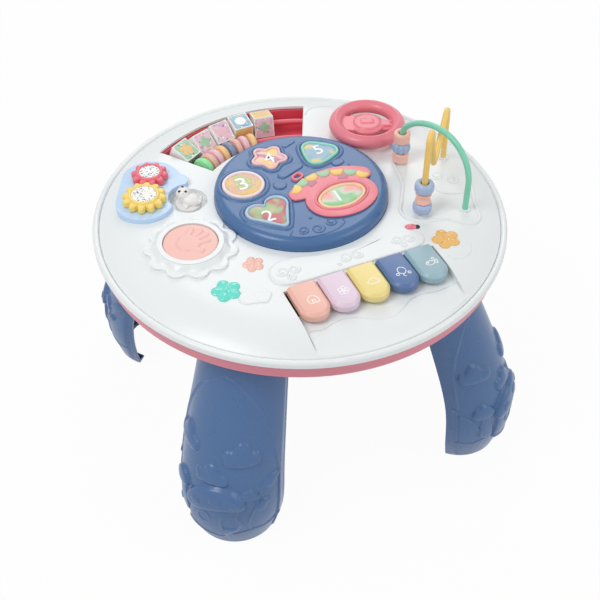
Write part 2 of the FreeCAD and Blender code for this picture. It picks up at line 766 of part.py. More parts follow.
def yellow_path_solid(name):
    """The yellow wire's bar."""
    item = wire_solid(name, yellow_corners(), sheet_value("wire_rad"))
    return put(item, S.yellow_x, S.yellow_y, 0, S.yellow_turn)


def make_wires():
    """The green arch and the yellow M."""
    keep(yellow_path_solid("yellow_wire_bar"), "yellow_wire")
    span = sheet_value("green_span")
    crest = sheet_value("green_crest")
    small = sheet_value("green_small")
    foot = sheet_value("deck_z") - sheet_value("wire_deep")
    shoulder = sheet_value("deck_z") + sheet_value("green_shoulder")
    top = sheet_value("deck_z") + sheet_value("green_top")
    rise = top - shoulder
    large = ((crest * crest + rise * rise) - 2 * crest * small) / (2 * (rise - small))
    far = span - crest
    small_mid = FreeCAD.Vector(small, 0, shoulder)
    large_mid = FreeCAD.Vector(crest, 0, top - large)
    joint = small_mid + (small_mid - large_mid).normalize() * small
    turn_small = math.atan2(joint.z - shoulder, joint.x - small)
    half_small = (math.pi + turn_small) / 2
    small_crown = small_mid + FreeCAD.Vector(math.cos(half_small), 0, math.sin(half_small)) * small
    turn_large = math.atan2(joint.z - large_mid.z, joint.x - large_mid.x)
    half_large = (math.pi / 2 + turn_large) / 2
    large_crown = large_mid + FreeCAD.Vector(math.cos(half_large), 0, math.sin(half_large)) * large
    slope = math.sqrt(0.5)
    far_mid = FreeCAD.Vector(crest, 0, top - far)
    edges = [
        Part.LineSegment(FreeCAD.Vector(0, 0, foot), FreeCAD.Vector(0, 0, shoulder)).toShape(),
        Part.Arc(FreeCAD.Vector(0, 0, shoulder), small_crown, joint).toShape(),
        Part.Arc(joint, large_crown, FreeCAD.Vector(crest, 0, top)).toShape(),
        Part.Arc(FreeCAD.Vector(crest, 0, top), far_mid + FreeCAD.Vector(slope, 0, slope) * far,
                 FreeCAD.Vector(span, 0, top - far)).toShape(),
        Part.LineSegment(FreeCAD.Vector(span, 0, top - far), FreeCAD.Vector(span, 0, foot)).toShape(),
    ]
    section = Part.Wire(Part.Circle(FreeCAD.Vector(0, 0, foot), FreeCAD.Vector(0, 0, 1),
                                    sheet_value("wire_rad")).toShape())
    item = doc.addObject("Part::Feature", "green_wire_bar")
    item.Shape = Part.Wire(edges).makePipeShell([section], True, False)
    keep(put(item, S.green_x, S.green_y, 0, S.green_turn), "green_wire")


def bead_outline(radius, waist):
    """Half section of a bead: a bored barrel with rounded ends."""
    edge = S.bead_high * 0.28
    return [
        (S.bead_hole, 0),
        (radius - edge, 0, edge),
        (radius, edge),
        (waist, S.bead_high / 2),
        (radius, S.bead_high - edge, edge),
        (radius - edge, S.bead_high),
        (S.bead_hole, S.bead_high),
    ]


def make_beads():
    """Three beads on the straight foot of each wire."""
    places = ["low", "mid", "top"]
    lean = math.degrees(math.atan2(sheet_value("yellow_lean"),
                                   sheet_value("yellow_high") + sheet_value("wire_deep")))
    for place, name in enumerate(places):
        wide = place == 1
        radius = S.bead_rad if wide else S.bead_rad - 1
        body = turned("green_bead_" + name + "_body", bead_outline(radius, radius - 0.2))
        rise = S.collar_rise + S.slip + (S.bead_high + S.slip) * place
        put(body, S.green_x, S.green_y, S.deck_z + rise)
        keep(body, "green_bead_" + name)
        slim = S.bead_waist if wide else S.bead_rad
        waist = slim if wide else S.bead_rad - 0.2
        body = turned("yellow_bead_" + name + "_body", bead_outline(slim, waist))
        along = rise + 1
        side = (along + S.wire_deep) * math.sin(math.radians(lean))
        direction = FreeCAD.Vector(math.cos(math.radians(sheet_value("yellow_turn"))),
                                   math.sin(math.radians(sheet_value("yellow_turn"))), 0)
        axis = FreeCAD.Vector(0, 0, 1).cross(direction)
        put(body, S.yellow_x + side * cosine(S.yellow_turn), S.yellow_y + side * sine(S.yellow_turn),
            S.deck_z + along * math.cos(math.radians(lean)), lean, tuple(axis))
        keep(body, "yellow_bead_" + name)


# Pink dish.
def make_bottom_shell():
    """Pink dish with bosses, battery box, board posts, tray posts, switch guide and leg sockets."""
    body = new_body("dish")
    sketch = new_sketch(body, "XZ_Plane")
    run = skirt_low_rad - dish_flat
    drop = S.skirt_low_z - S.dish_z
    curve = (run * run + drop * drop) / (drop * 2)
    inner_low = skirt_low_rad - S.wall
    inner_run = inner_low - dish_flat
    inner_curve = curve - S.wall
    inner_z = S.dish_z + curve - root(inner_curve * inner_curve - inner_run * inner_run)
    draw_outline(sketch, [
        (0, S.dish_z),
        (dish_flat, S.dish_z, curve),
        (skirt_low_rad, S.skirt_low_z),
        (skirt_rad, S.rim_z),
        (skirt_rad - S.wall, S.rim_z),
        (inner_low, inner_z, -inner_curve),
        (dish_flat, S.dish_z + S.wall),
        (0, S.dish_z + S.wall),
    ])
    revolve(body, sketch)
    floor = S.dish_z + 0.5
    posts = new_sketch(body, "XY_Plane", floor)
    for angle in BOSS_ANGLES:
        draw_circle(posts, S.boss_rad, boss_ring * cosine(angle), boss_ring * sine(angle))
    pad(body, posts, BOSS_FOOT - floor)
    stands = new_sketch(body, "XY_Plane", floor)
    for x, y in BOARD_POSTS:
        draw_circle(stands, S.boss_rad, x, y)
    pad(body, stands, S.board_z - floor)
    rests = new_sketch(body, "XY_Plane", floor)
    for angle in TRAY_POSTS:
        middle = (S.tray_in + S.tray_out) / 2
        draw_circle(rests, S.boss_rad, middle * cosine(angle), middle * sine(angle))
    pad(body, rests, S.tray_floor - S.tray_wall - floor)
    drum = new_sketch(body, "XY_Plane", floor)
    for side in (-1, 1):
        draw_circle(drum, S.boss_rad, S.drum_x + side * 12, S.drum_y)
    pad(body, drum, DRUM_BOARD_Z - floor)
    holder = new_sketch(body, "XY_Plane", floor)
    box_outline(holder, S.door_x, S.door_y, S.door_long + 6, S.door_wide + 6)
    pad(body, holder, BOX_TOP - floor)
    ring = new_sketch(body, "XY_Plane", floor)
    draw_circle(ring, S.speaker_rad + 2.3, S.speaker_x, S.speaker_y)
    draw_circle(ring, S.speaker_rad + S.slip, S.speaker_x, S.speaker_y)
    pad(body, ring, 6)
    room = new_sketch(body, "XY_Plane", S.dish_z - 1)
    box_outline(room, S.door_x, S.door_y, S.door_long - 5, S.door_wide - 3)
    pocket(body, room, BOX_TOP - 2 - (S.dish_z - 1))
    seat = new_sketch(body, "XY_Plane", S.dish_z - 1)
    box_outline(seat, S.door_x, S.door_y, S.door_long, S.door_wide)
    pocket(body, seat, S.door_thick + 1)
    holes = new_sketch(body, "XY_Plane", S.dish_z - 1)
    for angle in BOSS_ANGLES:
        draw_circle(holes, S.screw_rad + 0.2, boss_ring * cosine(angle), boss_ring * sine(angle))
    pocket(body, holes, 40)
    sinks = new_sketch(body, "XY_Plane", S.dish_z - 1)
    for angle in BOSS_ANGLES:
        draw_circle(sinks, S.screw_head + 0.3, boss_ring * cosine(angle), boss_ring * sine(angle))
    pocket(body, sinks, SCREW_SEAT - S.dish_z + 1)
    grille = new_sketch(body, "XY_Plane", S.dish_z - 1)
    for place in range(6):
        draw_circle(grille, 1.6, S.speaker_x + 9 * cosine(60 * place), S.speaker_y + 9 * sine(60 * place))
    draw_circle(grille, 1.6, S.speaker_x, S.speaker_y)
    pocket(body, grille, 4)
    window = new_sketch(body, "XY_Plane", S.dish_z - 1)
    box_outline(window, S.switch_x, S.switch_y, SWITCH_STEM + S.switch_move + S.slip * 2,
                SWITCH_STEM + S.slip * 2)
    pocket(body, window, 5)
    socket = new_sketch(body, "XY_Plane", S.dish_z - 1)
    half_ring(socket, LEG_TOP_MID, TENON_IN - S.slip, TENON_IN + S.tenon_thick + S.slip,
              S.leg_turn, 84)
    slot = pocket(body, socket, 5)
    polar(body, slot, socket, 4)
    rails = new_sketch(body, "XY_Plane", floor)
    for side in (-1, 1):
        box_outline(rails, S.switch_x, S.switch_y + side * 7, 26, 1.8)
    pad(body, rails, 6)
    keep(body, "bottom_shell")


def box_outline(sketch, x, y, length, width):
    """A rectangle centred on a point."""
    draw_outline(sketch, [
        (x - length / 2, y - width / 2),
        (x + length / 2, y - width / 2),
        (x + length / 2, y + width / 2),
        (x - length / 2, y + width / 2),
    ])


LEG_TOP_MID = leg_top_reach - S.leg_top_rad
TENON_IN = S.leg_top_rad - S.leg_wall - 0.6
BOX_TOP = S.dish_z + 18.5
DRUM_BOARD_Z = 222
SWITCH_STEM = 6
BOARD_POSTS = [(-48, 34), (60, 50), (-32, -114), (50, -114)]
TRAY_POSTS = [72, 95, 118]


def half_ring(sketch, middle, inner, outer, azimuth, spread):
    """Half a ring, open inwards, round a middle at an azimuth; spread is its half angle in degrees."""
    x = middle * cosine(azimuth)
    y = middle * sine(azimuth)

    def spot(radius, angle):
        return (x + radius * cosine(azimuth + angle), y + radius * sine(azimuth + angle))

    low_in = spot(inner, -spread)
    low_out = spot(outer, -spread)
    high_out = spot(outer, spread)
    high_in = spot(inner, spread)
    draw_outline(sketch, [
        low_in,
        low_out + (outer,),
        high_out,
        high_in + (-inner,),
    ])


# Legs.
def make_leg(label, azimuth):
    """Half-tube leg: a loft through half rings, with a foot lip, a top web and a tenon."""
    body = new_body(label + "_body")
    levels = [
        (0, leg_top_reach + S.foot_out, S.foot_rad),
        (S.low_z, leg_top_reach + S.low_out, S.low_rad),
        (S.belly_z, leg_top_reach + S.belly_out, S.belly_rad),
        (S.waist_z, leg_top_reach + S.waist_out, S.waist_rad),
        (S.neck_z, leg_top_reach + S.neck_out, S.neck_rad),
        (S.dish_z, leg_top_reach, S.leg_top_rad),
    ]
    sections = []
    for height, reach, radius in levels:
        sketch = new_sketch(body, "XY_Plane", height)
        half_ring(sketch, reach - radius, radius - S.leg_wall, radius, 0, 90)
        sections.append(sketch)
    loft = body.newObject("PartDesign::AdditiveLoft", label + "_loft")
    loft.Profile = sections[0]
    loft.Sections = sections[1:]
    loft.Ruled = False
    lip = new_sketch(body, "XY_Plane", 0)
    half_ring(lip, leg_top_reach + S.foot_out - S.foot_rad, S.foot_rad - S.foot_lip, S.foot_rad - 1, 0, 90)
    pad(body, lip, S.leg_wall)
    web = new_sketch(body, "XY_Plane", S.dish_z - S.leg_wall)
    radius = S.leg_top_rad - 0.8
    draw_outline(web, [
        (LEG_TOP_MID, -radius, radius),
        (LEG_TOP_MID, radius),
    ])
    pad(body, web, S.leg_wall)
    tenon = new_sketch(body, "XY_Plane", S.dish_z - 1)
    half_ring(tenon, LEG_TOP_MID, TENON_IN, TENON_IN + S.tenon_thick, 0, 83)
    pad(body, tenon, S.tenon_rise + 1)
    put(body, 0, 0, 0, azimuth)
    keep(body, label)


# Blue panel and its buttons.
def heart_parts(grow):
    """Two lobes and a point, as circles and a polygon in the heart's own frame."""
    radius = S.heart_rad + grow
    side = S.heart_rad * 0.93
    tip = S.heart_rad * 2.15 + grow * 1.3
    return radius, side, tip


def button_outline_bodies(name, grow, low, height):
    """The five button plugs, grown by a clearance, from a low height."""
    made = []
    made.append(put(disc_body(name + "_round", S.round_rad + grow, height), S.round_x, S.round_y, low))
    radius, side, tip = heart_parts(grow)
    body = new_body(name + "_heart")
    for sign in (-1, 1):
        lobe = new_sketch(body)
        draw_circle(lobe, radius, side * sign, S.heart_rad * 0.45)
        pad(body, lobe, height)
    point = new_sketch(body)
    slope = radius * 0.72
    draw_outline(point, [
        (-side - slope, S.heart_rad * 0.45 - slope * 0.96),
        (-radius * 0.3, -tip, radius * 0.42),
        (radius * 0.3, -tip),
        (side + slope, S.heart_rad * 0.45 - slope * 0.96),
        (0, S.heart_rad),
    ])
    pad(body, point, height)
    made.append(put(body, S.heart_x, S.heart_y, low, S.heart_turn))
    points = []
    for place in range(5):
        angle = place * 72
        tip_rad = S.star_rad * 0.24
        reach = S.star_rad - tip_rad + grow
        for side_angle in (-14, 14):
            distance = reach + tip_rad * 0.35
            spot = (distance * cosine(angle + side_angle), distance * sine(angle + side_angle))
            points.append(spot + (tip_rad * 1.25,) if side_angle < 0 else spot)
        valley = S.star_in + grow
        points.append((valley * cosine(angle + 36), valley * sine(angle + 36)))
    made.append(put(prism(name + "_star", points, height), S.star_x, S.star_y, low, S.star_turn))
    points = []
    corner = S.tri_rad + grow
    for place in range(3):
        angle = place * 120
        mid_x = S.tri_rad * cosine(angle)
        mid_y = S.tri_rad * sine(angle)
        first = (mid_x + corner * cosine(angle - 52), mid_y + corner * sine(angle - 52))
        last = (mid_x + corner * cosine(angle + 52), mid_y + corner * sine(angle + 52))
        points.append(first + (corner,))
        points.append(last + (corner * 7,))
    made.append(put(prism(name + "_tri", points, height), S.tri_x, S.tri_y, low, S.tri_turn))
    made.append(oval_plug(name + "_oval", S.oval_long + grow, S.oval_short + grow, height, low))
    return made


def disc_body(name, radius, height):
    """A padded disc."""
    body = new_body(name)
    sketch = new_sketch(body)
    draw_circle(sketch, radius)
    pad(body, sketch, height)
    return body


def oval_plug(name, long, short, height, low):
    """An oval of four arcs, padded and placed at button 1."""
    body = new_body(name)
    sketch = new_sketch(body)
    end_rad = short * short / long * 1.12
    end_mid = long - end_rad
    spread = 48
    corner_x = end_mid + end_rad * cosine(spread)
    corner_y = end_rad * sine(spread)
    rise = short - corner_y
    side_rad = (corner_x * corner_x + rise * rise) / (rise * 2)
    draw_outline(sketch, [
        (corner_x, -corner_y, end_rad),
        (corner_x, corner_y, side_rad),
        (-corner_x, corner_y, end_rad),
        (-corner_x, -corner_y, side_rad),
    ])
    pad(body, sketch, height)
    return put(body, S.oval_x, S.oval_y, low, S.oval_turn)


BUTTON_LABELS = ["button_3", "button_2", "button_4", "button_5", "button_1"]
BUTTON_PLACES = [
    (S.round_x, S.round_y),
    (S.heart_x, S.heart_y),
    (S.star_x, S.star_y),
    (S.tri_x, S.tri_y),
    (S.oval_x, S.oval_y),
]


def make_panel():
    """Blue panel: a domed cover with five button mouths."""
    seat = S.deck_z - S.panel_seat
    round_mid = S.panel_rad - S.panel_round
    inner_round = S.panel_round - S.wall
    cover = turned("panel_cover", [
        (0, panel_top - S.wall),
        (round_mid, panel_top - S.wall, -inner_round),
        (S.panel_rad - S.wall, panel_top - S.panel_round),
        (S.panel_rad - S.wall, seat),
        (S.panel_rad, seat),
        (S.panel_rad, panel_top - S.panel_round, S.panel_round),
        (round_mid, panel_top),
        (0, panel_top),
    ])
    put(cover, S.panel_x, S.panel_y, 0)
    mouths = button_outline_bodies("mouth", S.slip, panel_top - 10, 20)
    keep(cut("panel_cut", cover, fuse("panel_mouths", mouths)), "panel_dome")


def make_buttons():
    """Five caps, each with a guide stem that reaches down to its contact pad and a stop flange."""
    skirt = S.panel_rise * 0.75
    caps = button_outline_bodies("cap", 0, button_top - skirt, skirt)
    for cap, label, place in zip(caps, BUTTON_LABELS, BUTTON_PLACES):
        top = button_top - skirt
        stem = cylinder(label + "_stem", S.pad_rad, top + 1 - stem_foot, place[0], place[1], stem_foot)
        keep(fuse(label + "_solid", [cap, stem]), label)


def make_awning():
    """Coral plate round button 1: an oval body with an arched awning behind it."""
    body = new_body("awning_body")
    sketch = new_sketch(body)
    long = S.awning_long
    short = S.awning_short
    end_rad = short * short / long * 1.12
    end_mid = long - end_rad
    spread = 48
    corner_x = end_mid + end_rad * cosine(spread)
    corner_y = end_rad * sine(spread)
    rise = short - corner_y
    side_rad = (corner_x * corner_x + rise * rise) / (rise * 2)
    draw_outline(sketch, [
        (corner_x, -corner_y, end_rad),
        (corner_x, corner_y, side_rad),
        (-corner_x, corner_y, end_rad),
        (-corner_x, -corner_y, side_rad),
    ])
    pad(body, sketch, S.awning_thick)
    roof = new_sketch(body)
    draw_outline(roof, [
        (-long * 1.12, short * 0.62, -short * 0.33),
        (-long * 1.02, short * 1.14, -long * 2),
        (-long * 0.2, short * 1.5, -long * 1.6),
        (long * 1.12, short * 0.95, -short * 0.36),
        (long * 1.1, short * 0.36),
        (0, short * 0.2),
    ])
    pad(body, roof, S.awning_thick)
    put(body, S.oval_x, S.oval_y, panel_top, S.oval_turn)
    mouth = oval_plug("awning_mouth", S.oval_long + S.slip, S.oval_short + S.slip, 20, panel_top - 5)
    keep(cut("awning_cut", body, mouth), "awning_plate")


# Keyboard.
def make_keys():
    """Five keys hinged on one rod behind them, under the deck."""
    top = S.deck_z + S.key_rise
    low = top - S.key_deep
    for place in range(5):
        label = "key_%d" % (place + 1)
        x = S.key_mid_x + S.key_pitch * (place - 2)
        half = S.key_wide / 2
        body = new_body(label + "_body")
        sketch = new_sketch(body, "XY_Plane", low)
        straight = S.key_long - half
        draw_outline(sketch, [
            (-half, 0),
            (-half, -straight, half),
            (half, -straight),
            (half, 0),
        ])
        slab = pad(body, sketch, S.key_deep)
        doc.recompute()
        bevel = body.newObject("PartDesign::Chamfer", label + "_bevel")
        bevel.Base = (slab, top_edges(slab.Shape, top.value, 3))
        bind(bevel, "Size", S.key_bevel)
        put(body, x, S.key_back_y, 0)
        arm_long = S.key_pivot + 2
        arm = cuboid(label + "_arm", KEY_ARM, arm_long + 8, ARM_THICK, x,
                     S.key_back_y + (arm_long - 8) / 2, low - ARM_THICK + 0.2)
        hub = doc.addObject("Part::Cylinder", label + "_hub")
        bind(hub, "Radius", S.key_axle_rad + 1.8)
        bind(hub, "Height", KEY_ARM)
        put(hub, x - KEY_ARM / 2, key_axle_y, key_axle_z, 90, (0, 1, 0))
        plunger = cylinder(label + "_plunger", S.pad_rad, low - 2 - KEY_STEM_FOOT + 2.5, x,
                           S.key_back_y - 10, KEY_STEM_FOOT)
        whole = fuse(label + "_whole", [body, arm, hub, plunger])
        bore = key_rod(label + "_bore", S.key_axle_rad + S.run)
        keep(cut(label + "_cut", whole, bore), label)
    keep(key_rod("key_rod_bar", S.key_axle_rad), "key_axle")


ARM_THICK = 4
KEY_STEM_FOOT = pad_top + 1.6


def top_edges(shape, height, least):
    """Names of the edges that lie at a height, apart from the straight back edge."""
    names = []
    for count, edge in enumerate(shape.Edges, start=1):
        box = edge.BoundBox
        flat = abs(box.ZMin - height) < 1e-4 and abs(box.ZMax - height) < 1e-4
        if flat and box.YMin < -least:
            names.append("Edge%d" % count)
    return names


# Drum, wheel, gears and seal.
def make_drum():
    """Hand drum button: a crowned cap with a skirt and a stem."""
    top = S.deck_z + S.drum_rise
    crown = 1.2
    low = S.deck_z - 3
    bulge = (S.drum_rad * S.drum_rad + crown * crown) / (crown * 2)
    body = turned("drum_cap", [
        (0, low),
        (S.drum_rad, low),
        (S.drum_rad, top - crown, bulge),
        (0, top),
    ])
    put(body, S.drum_x, S.drum_y, 0)
    foot = DRUM_BOARD_Z + S.board_thick + S.pad_high + S.drum_travel + S.slip
    stem = cylinder("drum_stem", S.pad_rad, low + 1 - foot, S.drum_x, S.drum_y, foot)
    keep(fuse("drum_solid", [body, stem]), "drum_button")


def make_wheel():
    """Steering wheel: round rim, hub plate on a shaft, and two broad spokes."""
    rim = doc.addObject("Part::Torus", "wheel_rim_ring")
    bind(rim, "Radius1", S.wheel_rim)
    bind(rim, "Radius2", S.wheel_tube)
    put(rim, S.wheel_x, S.wheel_y, S.deck_z + S.wheel_lift)
    plate_z = S.deck_z + S.wheel_lift - 3.5
    hub = cylinder("wheel_plate", S.wheel_hub, 7.5, S.wheel_x, S.wheel_y, plate_z)
    bars = []
    for place, angle in enumerate((-24, 156)):
        bar = doc.addObject("Part::Box", "wheel_spoke_%d" % place)
        bind(bar, "Length", S.wheel_rim)
        bind(bar, "Width", S.wheel_hub * 1.5)
        bind(bar, "Height", 5)
        across = S.wheel_hub * 0.75
        put(bar, S.wheel_x + across * sine(angle), S.wheel_y - across * cosine(angle), plate_z + 1, angle)
        bars.append(bar)
    collar = cylinder("wheel_collar", S.wheel_shaft + 2.5, plate_z + 0.5 - (S.deck_z + S.slip), S.wheel_x,
                      S.wheel_y, S.deck_z + S.slip)
    shaft_foot = S.deck_z - 14
    shaft = cylinder("wheel_pin", S.wheel_shaft, plate_z - shaft_foot, S.wheel_x, S.wheel_y, shaft_foot)
    washer = cylinder("wheel_clip", S.wheel_shaft + 2.5, 1.6, S.wheel_x, S.wheel_y, shaft_foot)
    keep(fuse("wheel_solid", [rim, hub, collar, shaft, washer] + bars), "steering_wheel")


def make_gear(label, x, y, pitch, teeth, turn):
    """Flower gear: a root disc with round-ended teeth, bored for its pin, closed on top."""
    body = new_body(label + "_body")
    width = S.gear_gap * (math.pi * 2) / (S.gear_a_teeth + S.gear_b_teeth) * S.tooth_share
    half = width / 2
    disc = new_sketch(body)
    draw_circle(disc, pitch - S.tooth_in)
    pad(body, disc, S.gear_thick)
    tooth = new_sketch(body)
    reach = pitch + S.tooth_out - half
    draw_outline(tooth, [
        (0, -half),
        (reach, -half, half),
        (reach, half),
        (0, half),
    ])
    cog = pad(body, tooth, S.gear_thick)
    polar(body, cog, tooth, teeth)
    face = new_sketch(body, "XY_Plane", S.gear_thick)
    draw_circle(face, pitch - S.tooth_in - 2.4)
    pad(body, face, 1.4)
    bore = new_sketch(body)
    draw_circle(bore, S.gear_pin + S.run)
    pocket(body, bore, S.gear_thick - 0.6)
    put(body, x, y, S.deck_z + S.base_rise + S.slip, turn)
    keep(body, label)


def make_gear_base():
    """Light blue base: a long round plate that follows the deck, with a tail, and two gear pins."""
    low = S.rim_z + 1
    height = S.deck_z + S.base_rise - low
    line_x = cosine(S.gear_line + 90) * S.base_rad
    line_y = sine(S.gear_line + 90) * S.base_rad
    plate = prism("base_plate", [
        (S.gear_a_x + line_x, S.gear_a_y + line_y, S.base_rad),
        (S.gear_a_x - line_x, S.gear_a_y - line_y),
        (gear_b_x - line_x, gear_b_y - line_y, S.base_rad),
        (gear_b_x + line_x, gear_b_y + line_y),
    ], height, low)
    tail = cylinder("base_tail", 8.5, height, gear_b_x + 22, gear_b_y - 12, low)
    solid = fuse("base_solid", [plate, tail])
    shaped = cut("base_shaped", solid, fuse("base_tools", [
        shell_outside("base_under"),
        cylinder("base_notch", S.seal_well + 0.8, 60, S.seal_x, S.seal_y, low - 5),
    ]))
    pins = []
    for name, x, y in (("a", S.gear_a_x, S.gear_a_y), ("b", gear_b_x, gear_b_y)):
        pins.append(cylinder("gear_pin_" + name, S.gear_pin, S.gear_thick - 1.2 + 2, x, y,
                             S.deck_z + S.base_rise - 2))
    keep(fuse("base_whole", [shaped] + pins), "gear_base")


def make_seal():
    """Seal figure on a small turntable whose stem turns in the well's floor."""
    floor = S.deck_z - S.seal_deep
    disc = cylinder("seal_plate", S.seal_disc, 2.2, S.seal_x, S.seal_y, floor + S.slip)
    stem_foot_z = floor - S.wall - 2
    stem = cylinder("seal_stem", SEAL_STEM, floor + 1 - stem_foot_z, S.seal_x, S.seal_y, stem_foot_z)
    clip = cylinder("seal_clip", SEAL_STEM + 1.8, 1.6, S.seal_x, S.seal_y, stem_foot_z)
    body = doc.addObject("Part::Ellipsoid", "seal_body")
    bind(body, "Radius1", S.seal_high)
    bind(body, "Radius2", S.seal_long)
    bind(body, "Radius3", S.seal_wide)
    put(body, S.seal_x, S.seal_y, floor + 1 + S.seal_high * 0.9, -24)
    head = doc.addObject("Part::Sphere", "seal_head")
    bind(head, "Radius", S.seal_wide * 0.72)
    put(head, S.seal_x - 5, S.seal_y + 2.4, floor + 2 + S.seal_high * 1.05)
    keep(fuse("seal_solid", [disc, stem, clip, body, head]), "seal_turner")


# Blocks and rings in the tray.
def arc_rod(name, arc, start, end, radius):
    """A round rod bent to an arc about the table's axis."""
    body = new_body(name)
    sketch = new_sketch(body, "XZ_Plane")
    draw_circle(sketch, radius, arc, 0)
    item = body.newObject("PartDesign::Revolution", name + "_turned")
    item.Profile = sketch
    item.ReferenceAxis = (sketch, ["V_Axis"])
    bind(item, "Angle", end - start)
    item.Reversed = False
    put(body, 0, 0, S.rod_z, start)
    return body


def make_tray():
    """Red tray: floor, walls and slotted ends that carry the two rods."""
    first = S.tray_from - S.tray_end
    last = S.tray_to + S.tray_end
    outer = S.tray_out - S.slip
    inner = S.tray_in + S.slip
    low = S.tray_floor - S.tray_wall
    solid = sector("tray_solid", inner, outer, first, last, S.tray_top - low, low)
    room = sector("tray_room", inner + S.tray_wall, outer - S.tray_wall, S.tray_from, S.tray_to, 60,
                  S.tray_floor)
    slots = [room]
    for name, arc in (("block", S.block_arc), ("ring", S.ring_arc)):
        slots.append(arc_rod(name + "_slot", arc, first - 3, last + 3, S.rod_rad))
        slots.append(sector(name + "_slot_top", arc - S.rod_rad, arc + S.rod_rad, first - 3, last + 3, 20,
                            S.rod_z))
    keep(cut("tray_cut", solid, fuse("tray_slots", slots)), "block_tray")
    keep(arc_rod("block_rod", S.block_arc, first + 0.4, last - 0.4, S.rod_rad), "block_axle")
    keep(arc_rod("ring_rod_bar", S.ring_arc, first + 0.4, last - 0.4, S.rod_rad), "ring_rod")


BLOCK_TURNS = [24, 45, 36, 8, -16]


def make_blocks():
    """Five cubes that turn on the curved axle, each left at its own angle."""
    for place, turn in enumerate(BLOCK_TURNS):
        label = "block_%d" % (place + 1)
        azimuth = S.block_first - S.block_step * place
        cube = doc.addObject("Part::Box", label + "_cube")
        bind(cube, "Length", S.block_long)
        for prop in ("Width", "Height"):
            bind(cube, prop, S.block_side)
        put(cube, -S.block_long / 2, -S.block_side / 2, -S.block_side / 2)
        bore = doc.addObject("Part::Cylinder", label + "_bore")
        bind(bore, "Radius", S.block_bore)
        bind(bore, "Height", S.block_long + 4)
        put(bore, -S.block_long / 2 - 2, 0, 0, 90, (0, 1, 0))
        hollow = cut(label + "_bored", cube, bore)
        tilt = FreeCAD.Rotation(FreeCAD.Vector(1, 0, 0), turn)
        spin = FreeCAD.Rotation(FreeCAD.Vector(0, 0, 1), azimuth.value - 90)
        hollow.Placement = FreeCAD.Placement(FreeCAD.Vector(0, 0, 0), spin.multiply(tilt))
        bind(hollow, "Placement.Base.x", S.block_arc * cosine(azimuth))
        bind(hollow, "Placement.Base.y", S.block_arc * sine(azimuth))
        bind(hollow, "Placement.Base.z", S.rod_z)
        keep(hollow, label)


def make_rings():
    """Eight rings that hang on the curved rod and slide along it."""
    hang = S.rod_z - (S.ring_hole - S.rod_rad - S.slip)
    half = S.ring_thick / 2
    round_edge = S.ring_thick * 0.42
    for place in range(8):
        label = "ring_%d" % (place + 1)
        azimuth = S.ring_first - S.ring_step * place
        body = turned(label + "_body", [
            (S.ring_hole, -half),
            (S.ring_rad - round_edge, -half, round_edge),
            (S.ring_rad, -half + round_edge),
            (S.ring_rad, half - round_edge, round_edge),
            (S.ring_rad - round_edge, half),
            (S.ring_hole, half),
        ])
        upright = FreeCAD.Rotation(FreeCAD.Vector(0, 1, 0), 90)
        spin = FreeCAD.Rotation(FreeCAD.Vector(0, 0, 1), azimuth.value - 90)
        body.Placement = FreeCAD.Placement(FreeCAD.Vector(0, 0, 0), spin.multiply(upright))
        bind(body, "Placement.Base.x", S.ring_arc * cosine(azimuth))
        bind(body, "Placement.Base.y", S.ring_arc * sine(azimuth))
        bind(body, "Placement.Base.z", hang)
        keep(body, label)


# Flower windows.
def make_flowers():
    """Light windows let into the deck: three five-petalled flowers and a small oval."""
    sizes = {"teal_flower": (7.2, 5.4, 5), "peach_flower": (5.2, 3.9, 5), "orange_flower": (7, 5.2, 5)}
    for name, x, y, stem in FLOWERS:
        root_pin = cylinder(name + "_stem", stem, S.wall + 3, x, y, S.deck_z - S.wall - 3 + 0.01)
        if name in sizes:
            reach, petal, count = sizes[name]
            body = new_body(name + "_head")
            centre = new_sketch(body)
            draw_circle(centre, reach * 0.9)
            pad(body, centre, S.flower_rise)
            leaf = new_sketch(body)
            draw_circle(leaf, petal, reach, 0)
            lobe = pad(body, leaf, S.flower_rise)
            polar(body, lobe, leaf, count)
            put(body, x, y, S.deck_z, 18)
        else:
            body = doc.addObject("Part::Ellipsoid", name + "_shape")
            bind(body, "Radius1", 2.6)
            bind(body, "Radius2", 6.2)
            bind(body, "Radius3", 3.4)
            trimmed = cut(name + "_head", put(body, x, y, S.deck_z, -24),
                          cuboid(name + "_below", 20, 20, 10, x, y, S.deck_z - 10))
            body = trimmed
        keep(fuse(name + "_solid", [body, root_pin]), name)


